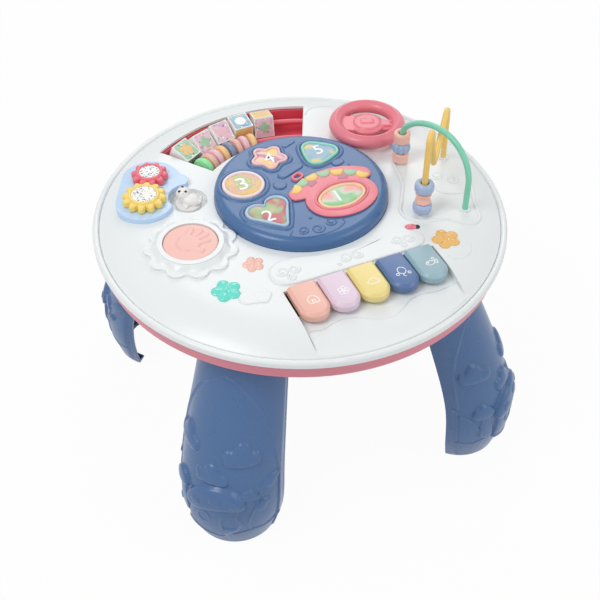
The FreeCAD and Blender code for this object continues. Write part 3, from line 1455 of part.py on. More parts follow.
# Works inside.
def make_works():
    """Boards, pads, speaker, cells, door, switch and screws."""
    main = cuboid("main_board", 126, 178, S.board_thick, 9, -33, S.board_z)
    relief = cuboid("board_notch", 60, 40, 10, 9 - 40, 60, S.board_z - 2)
    drum_board = cuboid("drum_board", 34, 16, S.board_thick, S.drum_x, S.drum_y, DRUM_BOARD_Z)
    keep(group("board_set", [cut("main_board_cut", main, relief), drum_board]), "circuit_boards")
    pads = []
    for place, (x, y) in enumerate(BUTTON_PLACES):
        pads.append(cylinder("button_pad_%d" % place, S.pad_rad, S.pad_high, x, y, board_top))
    for place in range(5):
        x = S.key_mid_x + S.key_pitch * (place - 2)
        pads.append(cylinder("key_pad_%d" % place, S.pad_rad, S.pad_high, x, S.key_back_y - 10, board_top))
    pads.append(cylinder("drum_pad", S.pad_rad, S.pad_high, S.drum_x, S.drum_y,
                         DRUM_BOARD_Z + S.board_thick))
    keep(group("pad_set", pads), "contact_pads")
    floor = S.dish_z + S.wall
    basket = cylinder("speaker_basket", S.speaker_rad, 4, S.speaker_x, S.speaker_y, floor)
    magnet = cylinder("speaker_magnet", S.speaker_rad * 0.6, S.speaker_high, S.speaker_x, S.speaker_y, floor)
    keep(fuse("speaker_solid", [basket, magnet]), "speaker")
    cells = []
    for place in (-1, 0, 1):
        cell = doc.addObject("Part::Cylinder", "cell_%d" % (place + 1))
        bind(cell, "Radius", S.cell_rad)
        bind(cell, "Height", S.cell_long)
        put(cell, S.door_x - S.cell_long / 2, S.door_y + place * (S.cell_rad * 2 + 0.4),
            S.dish_z + S.door_thick + S.cell_rad + 0.05, 90, (0, 1, 0))
        cells.append(cell)
    keep(group("cell_set", cells), "batteries")
    door = cuboid("door_plate", S.door_long - 2 * S.slip, S.door_wide - 2 * S.slip, S.door_thick,
                  S.door_x, S.door_y, S.dish_z)
    hole_x = S.door_x + S.door_long / 2 - 1.5
    keep(door, "battery_door")
    knob = cuboid("switch_knob", SWITCH_STEM, SWITCH_STEM, 5, S.switch_x - S.switch_move / 2, S.switch_y,
                  S.dish_z - 1.2)
    plate = cuboid("switch_plate", SWITCH_STEM + S.switch_move + 8, SWITCH_STEM + 5, 1.8,
                   S.switch_x - S.switch_move / 2, S.switch_y, floor + 0.05)
    keep(fuse("switch_solid", [knob, plate]), "power_switch")
    screws = []
    for place, angle in enumerate(BOSS_ANGLES):
        x = boss_ring * cosine(angle)
        y = boss_ring * sine(angle)
        shank = cylinder("screw_shank_%d" % place, S.screw_rad, S.screw_long, x, y, SCREW_SEAT)
        head = cylinder("screw_head_%d" % place, S.screw_head, 2, x, y, SCREW_SEAT - 2)
        screws.append(fuse("screw_%d" % place, [shank, head]))
    keep(group("screw_set", screws), "screws")


make_top_shell()
make_bottom_shell()
LEGS = [("leg_front_left", -135), ("leg_front_right", -45), ("leg_back_right", 45), ("leg_back_left", 135)]
for leg_label, leg_azimuth in LEGS:
    make_leg(leg_label, leg_azimuth)
make_panel()
make_buttons()
make_awning()
make_keys()
make_drum()
make_wheel()
make_gear_base()
make_gear("gear_yellow", S.gear_a_x, S.gear_a_y, pitch_a, S.gear_a_teeth, S.gear_line)
make_gear("gear_red", gear_b_x, gear_b_y, pitch_b, S.gear_b_teeth,
          S.gear_line + 180 + 180 / S.gear_b_teeth)
make_seal()
make_tray()
make_blocks()
make_rings()
make_wires()
make_beads()
make_flowers()
make_works()

doc.recompute()

faults = []
for item in doc.Objects:
    if "Invalid" in item.State or "Error" in item.State:
        faults.append("%s: %s" % (item.Name, item.State))
for node in NODES:
    if node.Shape.isNull() or not node.Shape.isValid():
        faults.append("%s has no valid shape" % node.Label)
if faults:
    raise RuntimeError("; ".join(faults))

os.makedirs("parts", exist_ok=True)
for node in NODES:
    node.Shape.exportStep("parts/%s.step" % node.Label)
print("%d nodes written" % len(NODES))
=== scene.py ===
# %% [markdown]
# # A musical activity table
#
# The table is a round white case on four hollow blue legs, with a toy on every part of its top.
# The solid model already holds each piece at its true size and place, and says which pieces
# move together. This lesson dresses those pieces: smooth surfaces, moulded relief, colours and
# the soft light of the photograph. Every length below is in millimetres until a mesh is made.

# %% Load the solid model
import json
import math

import bpy
import numpy as np
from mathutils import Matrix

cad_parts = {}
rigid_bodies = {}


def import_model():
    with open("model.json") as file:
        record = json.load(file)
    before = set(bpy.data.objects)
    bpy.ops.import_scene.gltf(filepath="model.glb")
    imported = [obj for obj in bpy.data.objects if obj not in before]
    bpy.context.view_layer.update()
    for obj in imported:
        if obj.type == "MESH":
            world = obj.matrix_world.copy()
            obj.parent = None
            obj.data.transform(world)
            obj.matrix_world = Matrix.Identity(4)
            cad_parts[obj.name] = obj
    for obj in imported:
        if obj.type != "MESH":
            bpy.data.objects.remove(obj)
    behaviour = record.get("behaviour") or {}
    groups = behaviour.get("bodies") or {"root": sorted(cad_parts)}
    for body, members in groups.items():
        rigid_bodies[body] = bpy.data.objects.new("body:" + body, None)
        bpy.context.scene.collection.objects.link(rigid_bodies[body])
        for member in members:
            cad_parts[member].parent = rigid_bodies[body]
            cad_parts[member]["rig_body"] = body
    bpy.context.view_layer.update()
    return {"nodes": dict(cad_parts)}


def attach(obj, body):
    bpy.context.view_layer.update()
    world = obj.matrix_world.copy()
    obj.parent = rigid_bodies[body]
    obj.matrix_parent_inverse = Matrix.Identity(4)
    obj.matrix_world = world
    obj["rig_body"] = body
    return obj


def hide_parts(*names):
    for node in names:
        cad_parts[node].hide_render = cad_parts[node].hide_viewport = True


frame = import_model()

nodes = frame["nodes"]


# %% [markdown]
# ## Meshes from arrays
#
# Nearly every piece is a stack of closed rings: a bead, a leg and a flower all fit that
# description. So one helper joins rings into a skin, and small functions make the rings. Whole
# arrays are worked out at once, and the mesh gets them in one call.

# %% Rings into a skin
def skin(rings, wrap=False):
    """Points and faces of a stack of closed rings, shape (rows, columns, 3).

    Face (i, j) joins column j to j + 1 and row i to i + 1. With wrap the last row joins the
    first, as on a ring doughnut; otherwise both ends get one flat face.
    """
    rings = np.asarray(rings, float)
    rows, columns = rings.shape[:2]
    row = np.arange(rows if wrap else rows - 1)[:, None]
    column = np.arange(columns)[None, :]
    above = (row + 1) % rows
    beside = (column + 1) % columns
    faces = np.stack([
        row * columns + column,
        row * columns + beside,
        above * columns + beside,
        above * columns + column,
    ], axis=-1).reshape(-1, 4).tolist()
    if not wrap:
        faces.append(list(range(columns))[::-1])
        faces.append([(rows - 1) * columns + place for place in range(columns)])
    return rings.reshape(-1, 3), faces


def piece(name, points, faces, body, material, slot, smooth=35, replaces=()):
    """Put a skin into the scene on a body, with a finish, smooth up to an angle in degrees."""
    mesh = bpy.data.meshes.new(name)
    mesh.from_pydata((np.asarray(points) * 0.001).tolist(), [], faces)
    mesh.update()
    mesh.shade_smooth()
    mesh.set_sharp_from_angle(angle=math.radians(smooth))
    mesh.materials.append(material)
    thing = bpy.data.objects.new(name, mesh)
    bpy.context.scene.collection.objects.link(thing)
    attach(thing, body)
    if replaces:
        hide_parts(*replaces)
    return thing


def join_skins(*skins):
    """Several skins as one list of points and faces."""
    points = []
    faces = []
    start = 0
    for some_points, some_faces in skins:
        points.append(np.asarray(some_points))
        faces += [[corner + start for corner in face] for face in some_faces]
        start += len(some_points)
    return np.concatenate(points), faces


# %% Turned shapes, slabs and tubes
def turn_points(angle):
    """Unit circle points (x, y) at angles in degrees."""
    angle = np.radians(angle)
    return np.stack([np.cos(angle), np.sin(angle)], axis=-1)


def lathe(profile, centre=(0, 0, 0), count=72, wrap=False, flutes=0, flute_deep=0):
    """A profile of (radius, height) points turned about the vertical.

    The radius at angle a is the profile's radius less flute_deep times (1 - |cos(flutes a / 2)|).
    """
    profile = np.asarray(profile, float)
    angle = np.linspace(0, 360, count, endpoint=False)
    dent = flute_deep * (1 - np.abs(np.cos(np.radians(angle) * flutes / 2))) if flutes else 0 * angle
    radius = np.maximum(profile[:, :1] - dent[None, :] * (profile[:, :1] > 0.6 * profile[:, 0].max()), 0.02)
    circle = turn_points(angle)
    rings = np.concatenate([
        radius[..., None] * circle[None],
        np.broadcast_to(profile[:, 1][:, None, None], (len(profile), count, 1)),
    ], axis=-1)
    return skin(rings + np.asarray(centre, float), wrap)


def outward(outline):
    """Unit normals of a closed outline that runs anticlockwise: the tangent turned right."""
    step = np.roll(outline, -1, axis=0) - np.roll(outline, 1, axis=0)
    normal = np.stack([step[:, 1], -step[:, 0]], axis=-1)
    return normal / np.maximum(np.linalg.norm(normal, axis=1, keepdims=True), 1e-9)


def slab(outline, profile, centre=None):
    """A closed outline carried along a profile of (inset, height, shrink).

    Each ring is the outline moved inwards by inset and then drawn towards the centre by shrink.
    """
    outline = np.asarray(outline, float)
    normal = outward(outline)
    middle = outline.mean(axis=0) if centre is None else np.asarray(centre, float)
    rings = []
    for step in profile:
        inset, height = step[:2]
        shrink = step[2] if len(step) > 2 else 1
        flat = middle + (outline - normal * inset - middle) * shrink
        rings.append(np.column_stack([flat, np.full(len(flat), float(height))]))
    return skin(rings)


def tube(path, radius, side, sides=20, wrap=False, flat=1.0):
    """A round bar along a path: circles square to the path, with one axis kept along side."""
    path = np.asarray(path, float)
    if wrap:
        way = np.roll(path, -1, axis=0) - np.roll(path, 1, axis=0)
    else:
        way = np.gradient(path, axis=0)
    way = way / np.linalg.norm(way, axis=1, keepdims=True)
    side = np.broadcast_to(np.asarray(side, float), path.shape)
    across = np.cross(side, way)
    across = across / np.linalg.norm(across, axis=1, keepdims=True)
    side = np.cross(way, across)
    circle = turn_points(np.linspace(0, 360, sides, endpoint=False))
    radius = np.broadcast_to(np.asarray(radius, float), len(path))
    rings = path[:, None, :] + radius[:, None, None] * (
        circle[None, :, :1] * across[:, None, :] + flat * circle[None, :, 1:] * side[:, None, :])
    return skin(rings, wrap)


# %% [markdown]
# ## The height of the deck
#
# The top is flat in the middle and falls to the rim along one arc. Anything that lies on it needs
# that height, so it is a function of the place, with the same sizes as the solid.

# %% Deck height
DECK = 234.0
DECK_FLAT = 138.0
RIM_LIP = 173.8
LIP_DROP = 10.4
DOME = ((RIM_LIP - DECK_FLAT) ** 2 + LIP_DROP ** 2) / (2 * LIP_DROP)


def deck_height(x, y):
    """Height of the top: flat to DECK_FLAT, then an arc of radius DOME that starts level."""
    radius = np.hypot(x, y)
    run = np.clip(radius - DECK_FLAT, 0, RIM_LIP - DECK_FLAT)
    return DECK - DOME + np.sqrt(DOME ** 2 - run ** 2)


print("dome radius", round(DOME, 1), "deck at rim", round(float(deck_height(170, 0)), 1))


# %% [markdown]
# ## Moulded plastic
#
# Nearly everything is injection-moulded ABS or PP. Such plastic isn't one flat colour: the
# granules leave faint clouds, the tool leaves a fine grain, and handling leaves patches that are
# shinier or duller. One node group gives those three effects, and each material sets how much.

# %% Node group for moulded plastic
def make_moulding_group():
    """A group that turns a colour into a clouded colour, a roughness and a fine height."""
    group = bpy.data.node_groups.new("moulded_plastic", "ShaderNodeTree")
    face = group.interface
    face.new_socket("Colour", in_out="INPUT", socket_type="NodeSocketColor")
    for name, value in (("Cloud", 0.05), ("Roughness", 0.4), ("Patch", 0.08), ("Grain Size", 900.0)):
        socket = face.new_socket(name, in_out="INPUT", socket_type="NodeSocketFloat")
        socket.default_value = value
    face.new_socket("Colour", in_out="OUTPUT", socket_type="NodeSocketColor")
    face.new_socket("Roughness", in_out="OUTPUT", socket_type="NodeSocketFloat")
    face.new_socket("Height", in_out="OUTPUT", socket_type="NodeSocketFloat")
    node = group.nodes.new
    link = group.links.new
    given = node("NodeGroupInput")
    result = node("NodeGroupOutput")
    place = node("ShaderNodeTexCoord")
    clouds = node("ShaderNodeTexNoise")
    clouds.inputs["Scale"].default_value = 14
    clouds.inputs["Detail"].default_value = 4
    patches = node("ShaderNodeTexNoise")
    patches.inputs["Scale"].default_value = 38
    patches.inputs["Detail"].default_value = 5
    grain = node("ShaderNodeTexNoise")
    grain.inputs["Detail"].default_value = 2
    for texture in (clouds, patches, grain):
        link(place.outputs["Object"], texture.inputs["Vector"])
    link(given.outputs["Grain Size"], grain.inputs["Scale"])
    centred = node("ShaderNodeMath")
    centred.operation = "SUBTRACT"
    centred.inputs[1].default_value = 0.5
    link(clouds.outputs["Fac"], centred.inputs[0])
    amount = node("ShaderNodeMath")
    amount.operation = "MULTIPLY_ADD"
    amount.inputs[2].default_value = 1.0
    link(centred.outputs[0], amount.inputs[0])
    link(given.outputs["Cloud"], amount.inputs[1])
    tint = node("ShaderNodeVectorMath")
    tint.operation = "SCALE"
    link(given.outputs["Colour"], tint.inputs[0])
    link(amount.outputs[0], tint.inputs["Scale"])
    link(tint.outputs[0], result.inputs["Colour"])
    shift = node("ShaderNodeMath")
    shift.operation = "SUBTRACT"
    shift.inputs[1].default_value = 0.5
    link(patches.outputs["Fac"], shift.inputs[0])
    rough = node("ShaderNodeMath")
    rough.operation = "MULTIPLY_ADD"
    link(shift.outputs[0], rough.inputs[0])
    link(given.outputs["Patch"], rough.inputs[1])
    link(given.outputs["Roughness"], rough.inputs[2])
    link(rough.outputs[0], result.inputs["Roughness"])
    link(grain.outputs["Fac"], result.inputs["Height"])
    return group


MOULDING = make_moulding_group()


def linear(colour):
    """A screen colour of 0 to 255 as the linear values that a shader takes."""
    share = np.asarray(colour, float) / 255
    value = np.where(share <= 0.04045, share / 12.92, ((share + 0.055) / 1.055) ** 2.4)
    return (*value.tolist(), 1.0)


def plastic(name, colour, roughness=0.38, cloud=0.05, patch=0.1, bump=0.02, grain=900, coat=0.0,
            specular=0.5, metal=0.0):
    """A moulded plastic finish with clouded colour, uneven gloss and a fine grain."""
    material = bpy.data.materials.new(name)
    material.use_nodes = True
    tree = material.node_tree
    shader = tree.nodes["Principled BSDF"]
    group = tree.nodes.new("ShaderNodeGroup")
    group.node_tree = MOULDING
    group.inputs["Colour"].default_value = linear(colour)
    group.inputs["Cloud"].default_value = cloud
    group.inputs["Roughness"].default_value = roughness
    group.inputs["Patch"].default_value = patch
    group.inputs["Grain Size"].default_value = grain
    bumps = tree.nodes.new("ShaderNodeBump")
    bumps.inputs["Strength"].default_value = bump
    bumps.inputs["Distance"].default_value = 0.001
    tree.links.new(group.outputs["Colour"], shader.inputs["Base Color"])
    tree.links.new(group.outputs["Roughness"], shader.inputs["Roughness"])
    tree.links.new(group.outputs["Height"], bumps.inputs["Height"])
    tree.links.new(bumps.outputs["Normal"], shader.inputs["Normal"])
    shader.inputs["Specular IOR Level"].default_value = specular
    shader.inputs["Coat Weight"].default_value = coat
    shader.inputs["Metallic"].default_value = metal
    return material


# %% Plastics of this table
FINISH = {
    "white": plastic("white_case", (235, 238, 238), 0.3, 0.02, 0.1, 0.03),
    "pink": plastic("pink_dish", (222, 132, 146), 0.42, 0.05, 0.1, 0.04),
    "leg": plastic("leg_blue", (74, 110, 158), 0.28, 0.07, 0.12, 0.05, 700),
    "panel": plastic("panel_blue", (68, 108, 157), 0.27, 0.05, 0.1, 0.03),
    "coral": plastic("coral", (236, 132, 145), 0.3, 0.05, 0.08),
    "tray": plastic("tray_red", (226, 84, 100), 0.34, 0.06),
    "rod": plastic("rod_pink", (236, 112, 124), 0.3, 0.04),
    "base": plastic("base_blue", (196, 222, 250), 0.34, 0.04),
    "drum": plastic("drum_peach", (244, 194, 184), 0.42, 0.05),
    "seal": plastic("seal_white", (242, 238, 235), 0.46, 0.05),
    "wire_green": plastic("wire_green", (132, 214, 184), 0.3, 0.04),
    "wire_yellow": plastic("wire_yellow", (248, 208, 112), 0.3, 0.04),
    "dark": plastic("dark_plastic", (48, 48, 52), 0.5, 0.08),
    "board": plastic("board_green", (38, 108, 70), 0.4, 0.1),
    "rubber": plastic("pad_rubber", (92, 92, 96), 0.75, 0.06),
    "steel": plastic("screw_steel", (178, 180, 184), 0.3, 0.05, metal=1.0),
    "cell": plastic("cell_skin", (62, 66, 78), 0.34, 0.06),
}
print("finishes", len(FINISH))

# %% [markdown]
# ## Finishes for the solid nodes
#
# Where a solid already has the right shape it stays, and only gets its finish. Its triangles are loose.

# %% Dress the solid nodes
NODE_FINISH = {
    "top_shell": "white", "bottom_shell": "pink", "panel_dome": "panel", "gear_base": "base",
    "block_tray": "tray", "block_axle": "rod", "ring_rod": "rod", "key_axle": "steel",
    "circuit_boards": "board", "contact_pads": "rubber", "speaker": "dark", "batteries": "cell",
    "battery_door": "pink", "screws": "steel", "power_switch": "dark", "awning_plate": "coral",
    "steering_wheel": "coral", "drum_button": "drum", "green_wire": "wire_green",
    "yellow_wire": "wire_yellow", "seal_turner": "seal",
}
for name, thing in nodes.items():
    finish = FINISH[NODE_FINISH.get(name, "leg" if name.startswith("leg") else "white")]
    if not thing.data.materials:
        thing.data.materials.append(finish)
    for place in thing.material_slots:
        place.material = finish
print("dressed", len(nodes))


# %% [markdown]
# ## Camera, floor and light
#
# The photograph looks down at about 45 degrees from the front left with a long lens. The light is
# broad and soft, so the lamps are large and the world gives more than half of it. The background
# is plain white: only camera, mirror and glass rays see it, so it adds no light to the table.

# %% Camera
from mathutils import Vector

camera_data = bpy.data.cameras.new("camera")
camera_data.sensor_width = 36
camera_data.lens = 60.66
camera = bpy.data.objects.new("camera", camera_data)
bpy.context.scene.collection.objects.link(camera)
camera.location = (-0.2807, -0.6245, 0.7898)
VIEW_DOWN = math.radians(44.6)
view_way = Vector((0.410 * math.cos(VIEW_DOWN), 0.912 * math.cos(VIEW_DOWN), -math.sin(VIEW_DOWN)))
camera.rotation_euler = view_way.to_track_quat("-Z", "Y").to_euler()
bpy.context.scene.camera = camera
print("camera looks along", [round(part, 3) for part in view_way])


# %% White world
def seen_directly(tree):
    """A mask that is 1 where a ray comes straight from the camera, a mirror or glass."""
    path = tree.nodes.new("ShaderNodeLightPath")
    first = tree.nodes.new("ShaderNodeMath")
    first.operation = "MAXIMUM"
    second = tree.nodes.new("ShaderNodeMath")
    second.operation = "MAXIMUM"
    tree.links.new(path.outputs["Is Camera Ray"], first.inputs[0])
    tree.links.new(path.outputs["Is Glossy Ray"], first.inputs[1])
    tree.links.new(first.outputs[0], second.inputs[0])
    tree.links.new(path.outputs["Is Transmission Ray"], second.inputs[1])
    return second.outputs[0]


world = bpy.data.worlds.new("studio")
bpy.context.scene.world = world
world.use_nodes = True
tree = world.node_tree
light = tree.nodes["Background"]
light.inputs["Color"].default_value = (0.97, 0.985, 1.0, 1)
light.inputs["Strength"].default_value = 0.54
backdrop = tree.nodes.new("ShaderNodeBackground")
backdrop.inputs["Color"].default_value = (1, 1, 1, 1)
backdrop.inputs["Strength"].default_value = 1.0
choose = tree.nodes.new("ShaderNodeMixShader")
tree.links.new(seen_directly(tree), choose.inputs["Fac"])
tree.links.new(light.outputs[0], choose.inputs[1])
tree.links.new(backdrop.outputs[0], choose.inputs[2])
tree.links.new(choose.outputs[0], tree.nodes["World Output"].inputs["Surface"])
bpy.context.scene.view_settings.view_transform = "Standard"


# %% Lamps and floor
def lamp(name, place, target, size, power):
    """A square area lamp at a place in metres that faces a target."""
    data = bpy.data.lights.new(name, "AREA")
    data.size = size
    data.energy = power
    thing = bpy.data.objects.new(name, data)
    thing.location = place
    way = Vector(target) - Vector(place)
    thing.rotation_euler = way.to_track_quat("-Z", "Y").to_euler()
    bpy.context.scene.collection.objects.link(thing)
    return thing


lamp("key_lamp", (-0.85, -0.2, 1.4), (0, 0, 0.2), 0.6, 7.6)
lamp("fill_lamp", (1.0, -1.0, 1.1), (0, 0, 0.15), 0.9, 4.6)
lamp("back_lamp", (0.5, 1.2, 1.2), (0, 0, 0.2), 0.8, 4.5)

floor_mesh = bpy.data.meshes.new("floor")
floor_mesh.from_pydata([(-6, -6, 0), (6, -6, 0), (6, 6, 0), (-6, 6, 0)], [], [(0, 1, 2, 3)])
floor = bpy.data.objects.new("floor", floor_mesh)
bpy.context.scene.collection.objects.link(floor)
floor_material = bpy.data.materials.new("pale_floor")
floor_material.use_nodes = True
tree = floor_material.node_tree
matt = tree.nodes["Principled BSDF"]
matt.inputs["Base Color"].default_value = (0.9, 0.9, 0.9, 1)
matt.inputs["Roughness"].default_value = 1.0
matt.inputs["Specular IOR Level"].default_value = 0.0
glow = tree.nodes.new("ShaderNodeEmission")
glow.inputs["Strength"].default_value = 1.0
share = tree.nodes.new("ShaderNodeMath")
share.operation = "MULTIPLY"
share.inputs[1].default_value = 0.95
mix = tree.nodes.new("ShaderNodeMixShader")
tree.links.new(seen_directly(tree), share.inputs[0])
tree.links.new(share.outputs[0], mix.inputs["Fac"])
tree.links.new(matt.outputs[0], mix.inputs[1])
tree.links.new(glow.outputs[0], mix.inputs[2])
tree.links.new(mix.outputs[0], tree.nodes["Material Output"].inputs["Surface"])
floor_mesh.materials.append(floor_material)
print("lamps 3, floor 12 m")

# %% [markdown]
# ## Softer edges
#
# A moulded part has no knife edge: the tool leaves a radius of a few tenths of a millimetre, and
# that thin line of light is what makes plastic look real. For plain solids the quickest way is to
# merge a copy of the solid's mesh, drop its flat triangles, and let a Bevel modifier round it.

# %% Copies with rounded edges
import bmesh


def softened(node, width, finish=None, steps=3, angle=28):
    """A merged copy of a solid node whose edges are rounded by width in millimetres."""
    mesh = bpy.data.meshes.new(node + "_soft")
    work = bmesh.new()
    work.from_mesh(nodes[node].data)
    bmesh.ops.remove_doubles(work, verts=work.verts, dist=2e-6)
    bmesh.ops.dissolve_limit(work, angle_limit=math.radians(0.8), verts=work.verts, edges=work.edges)
    work.to_mesh(mesh)
    work.free()
    mesh.shade_smooth()
    mesh.materials.clear()
    mesh.materials.append(finish or FINISH[NODE_FINISH[node]])
    thing = bpy.data.objects.new(node + "_soft", mesh)
    bpy.context.scene.collection.objects.link(thing)
    rounding = thing.modifiers.new("rounding", "BEVEL")
    rounding.width = width * 0.001
    rounding.segments = steps
    rounding.limit_method = "ANGLE"
    rounding.angle_limit = math.radians(angle)
    rounding.harden_normals = True
    rounding.use_clamp_overlap = True
    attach(thing, nodes[node]["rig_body"])
    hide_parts(node)
    return thing


# %% [markdown]
# ## Legs
#
# Each leg is a half tube whose width changes with height, open towards the middle of the table.
# Its outside carries a moulded picture: an arch with small clouds, mushrooms and leaves. A height
# field suits this best: the leg is a grid of angle and height, and the picture is a number that is
# added to the radius at each grid point.

# %% Distances for a relief
def smooth_line(points, steps=8, closed=False):
    """A Catmull-Rom curve through points: each span is the cubic that passes four neighbours."""
    points = np.asarray(points, float)
    if closed:
        points = np.concatenate([points[-1:], points, points[:2]])
    else:
        points = np.concatenate([points[:1], points, points[-1:]])
    t = np.linspace(0, 1, steps, endpoint=False)[None, :, None]
    a, b, c, d = (points[k:len(points) - 3 + k, None, :] for k in range(4))
    curve = 0.5 * (2 * b + (c - a) * t + (2 * a - 5 * b + 4 * c - d) * t ** 2
                   + (3 * b - a - 3 * c + d) * t ** 3)
    curve = curve.reshape(-1, points.shape[1])
    return curve if closed else np.concatenate([curve, points[-2:-1]])


def line_distance(u, v, line):
    """Distance of grid points (u, v) to a chain of straight runs."""
    best = np.full(u.shape, 1e9)
    for start, end in zip(line[:-1], line[1:]):
        way = end - start
        along = ((u - start[0]) * way[0] + (v - start[1]) * way[1]) / max(way @ way, 1e-9)
        along = np.clip(along, 0, 1)
        best = np.minimum(best, (u - start[0] - along * way[0]) ** 2 + (v - start[1] - along * way[1]) ** 2)
    return np.sqrt(best)


def inside(u, v, loop):
    """True where a grid point lies inside a closed chain: its crossings to the right are odd."""
    odd = np.zeros(u.shape, bool)
    for start, end in zip(loop, np.roll(loop, -1, axis=0)):
        straddles = (start[1] > v) != (end[1] > v)
        rise = end[1] - start[1]
        cross = start[0] + (v - start[1]) * (end[0] - start[0]) / (rise if abs(rise) > 1e-12 else 1e-12)
        odd ^= straddles & (u < cross)
    return odd


def ramp(value, low, high):
    """0 below low, 1 above high, and a smooth step between."""
    share = np.clip((value - low) / (high - low), 0, 1)
    return share * share * (3 - 2 * share)


def ridge(u, v, line, width, height):
    """A round-topped line: height times the half ellipse of distance over half width."""
    distance = line_distance(u, v, np.asarray(line, float))
    return height * np.sqrt(np.clip(1 - (2 * distance / width) ** 2, 0, 1))


def plateau(u, v, loop, height, edge=1.2, dome=0.0):
    """A raised field inside a loop: a smooth step over edge, and a dome of extra height inside."""
    loop = np.asarray(loop, float)
    closed = np.concatenate([loop, loop[:1]])
    depth = np.where(inside(u, v, loop), 1, -1) * line_distance(u, v, closed)
    puffed = np.sqrt(1 - (1 - np.clip(depth / 7, 0, 1)) ** 2)
    return height * ramp(depth, -edge / 2, edge / 2) + dome * puffed


# %% Shape of a leg
LEG_LEVELS = np.array([
    [0, 203, 38.5], [25, 208.5, 45], [68, 206.5, 46.5], [118, 188.5, 43], [160, 169, 39.2],
    [197, 153.5, 36.8],
])
LEG_WALL = 3.0
FOOT_LIP = 10.0
FOOT_HIGH = 3.0


def natural_spline(places, values, where):
    """The natural cubic spline: its second derivatives solve the usual three-band system."""
    places = np.asarray(places, float)
    values = np.asarray(values, float)
    gap = np.diff(places)
    count = len(places)
    matrix = np.eye(count)
    right = np.zeros(count)
    for k in range(1, count - 1):
        matrix[k, k - 1:k + 2] = gap[k - 1], 2 * (gap[k - 1] + gap[k]), gap[k]
        right[k] = 6 * ((values[k + 1] - values[k]) / gap[k] - (values[k] - values[k - 1]) / gap[k - 1])
    bend = np.linalg.solve(matrix, right)
    cell = np.clip(np.searchsorted(places, where) - 1, 0, count - 2)
    left = places[cell + 1] - where
    rest = where - places[cell]
    size = gap[cell]
    return (bend[cell] * left ** 3 + bend[cell + 1] * rest ** 3) / (6 * size) + (
        values[cell] / size - bend[cell] * size / 6) * left + (
        values[cell + 1] / size - bend[cell + 1] * size / 6) * rest


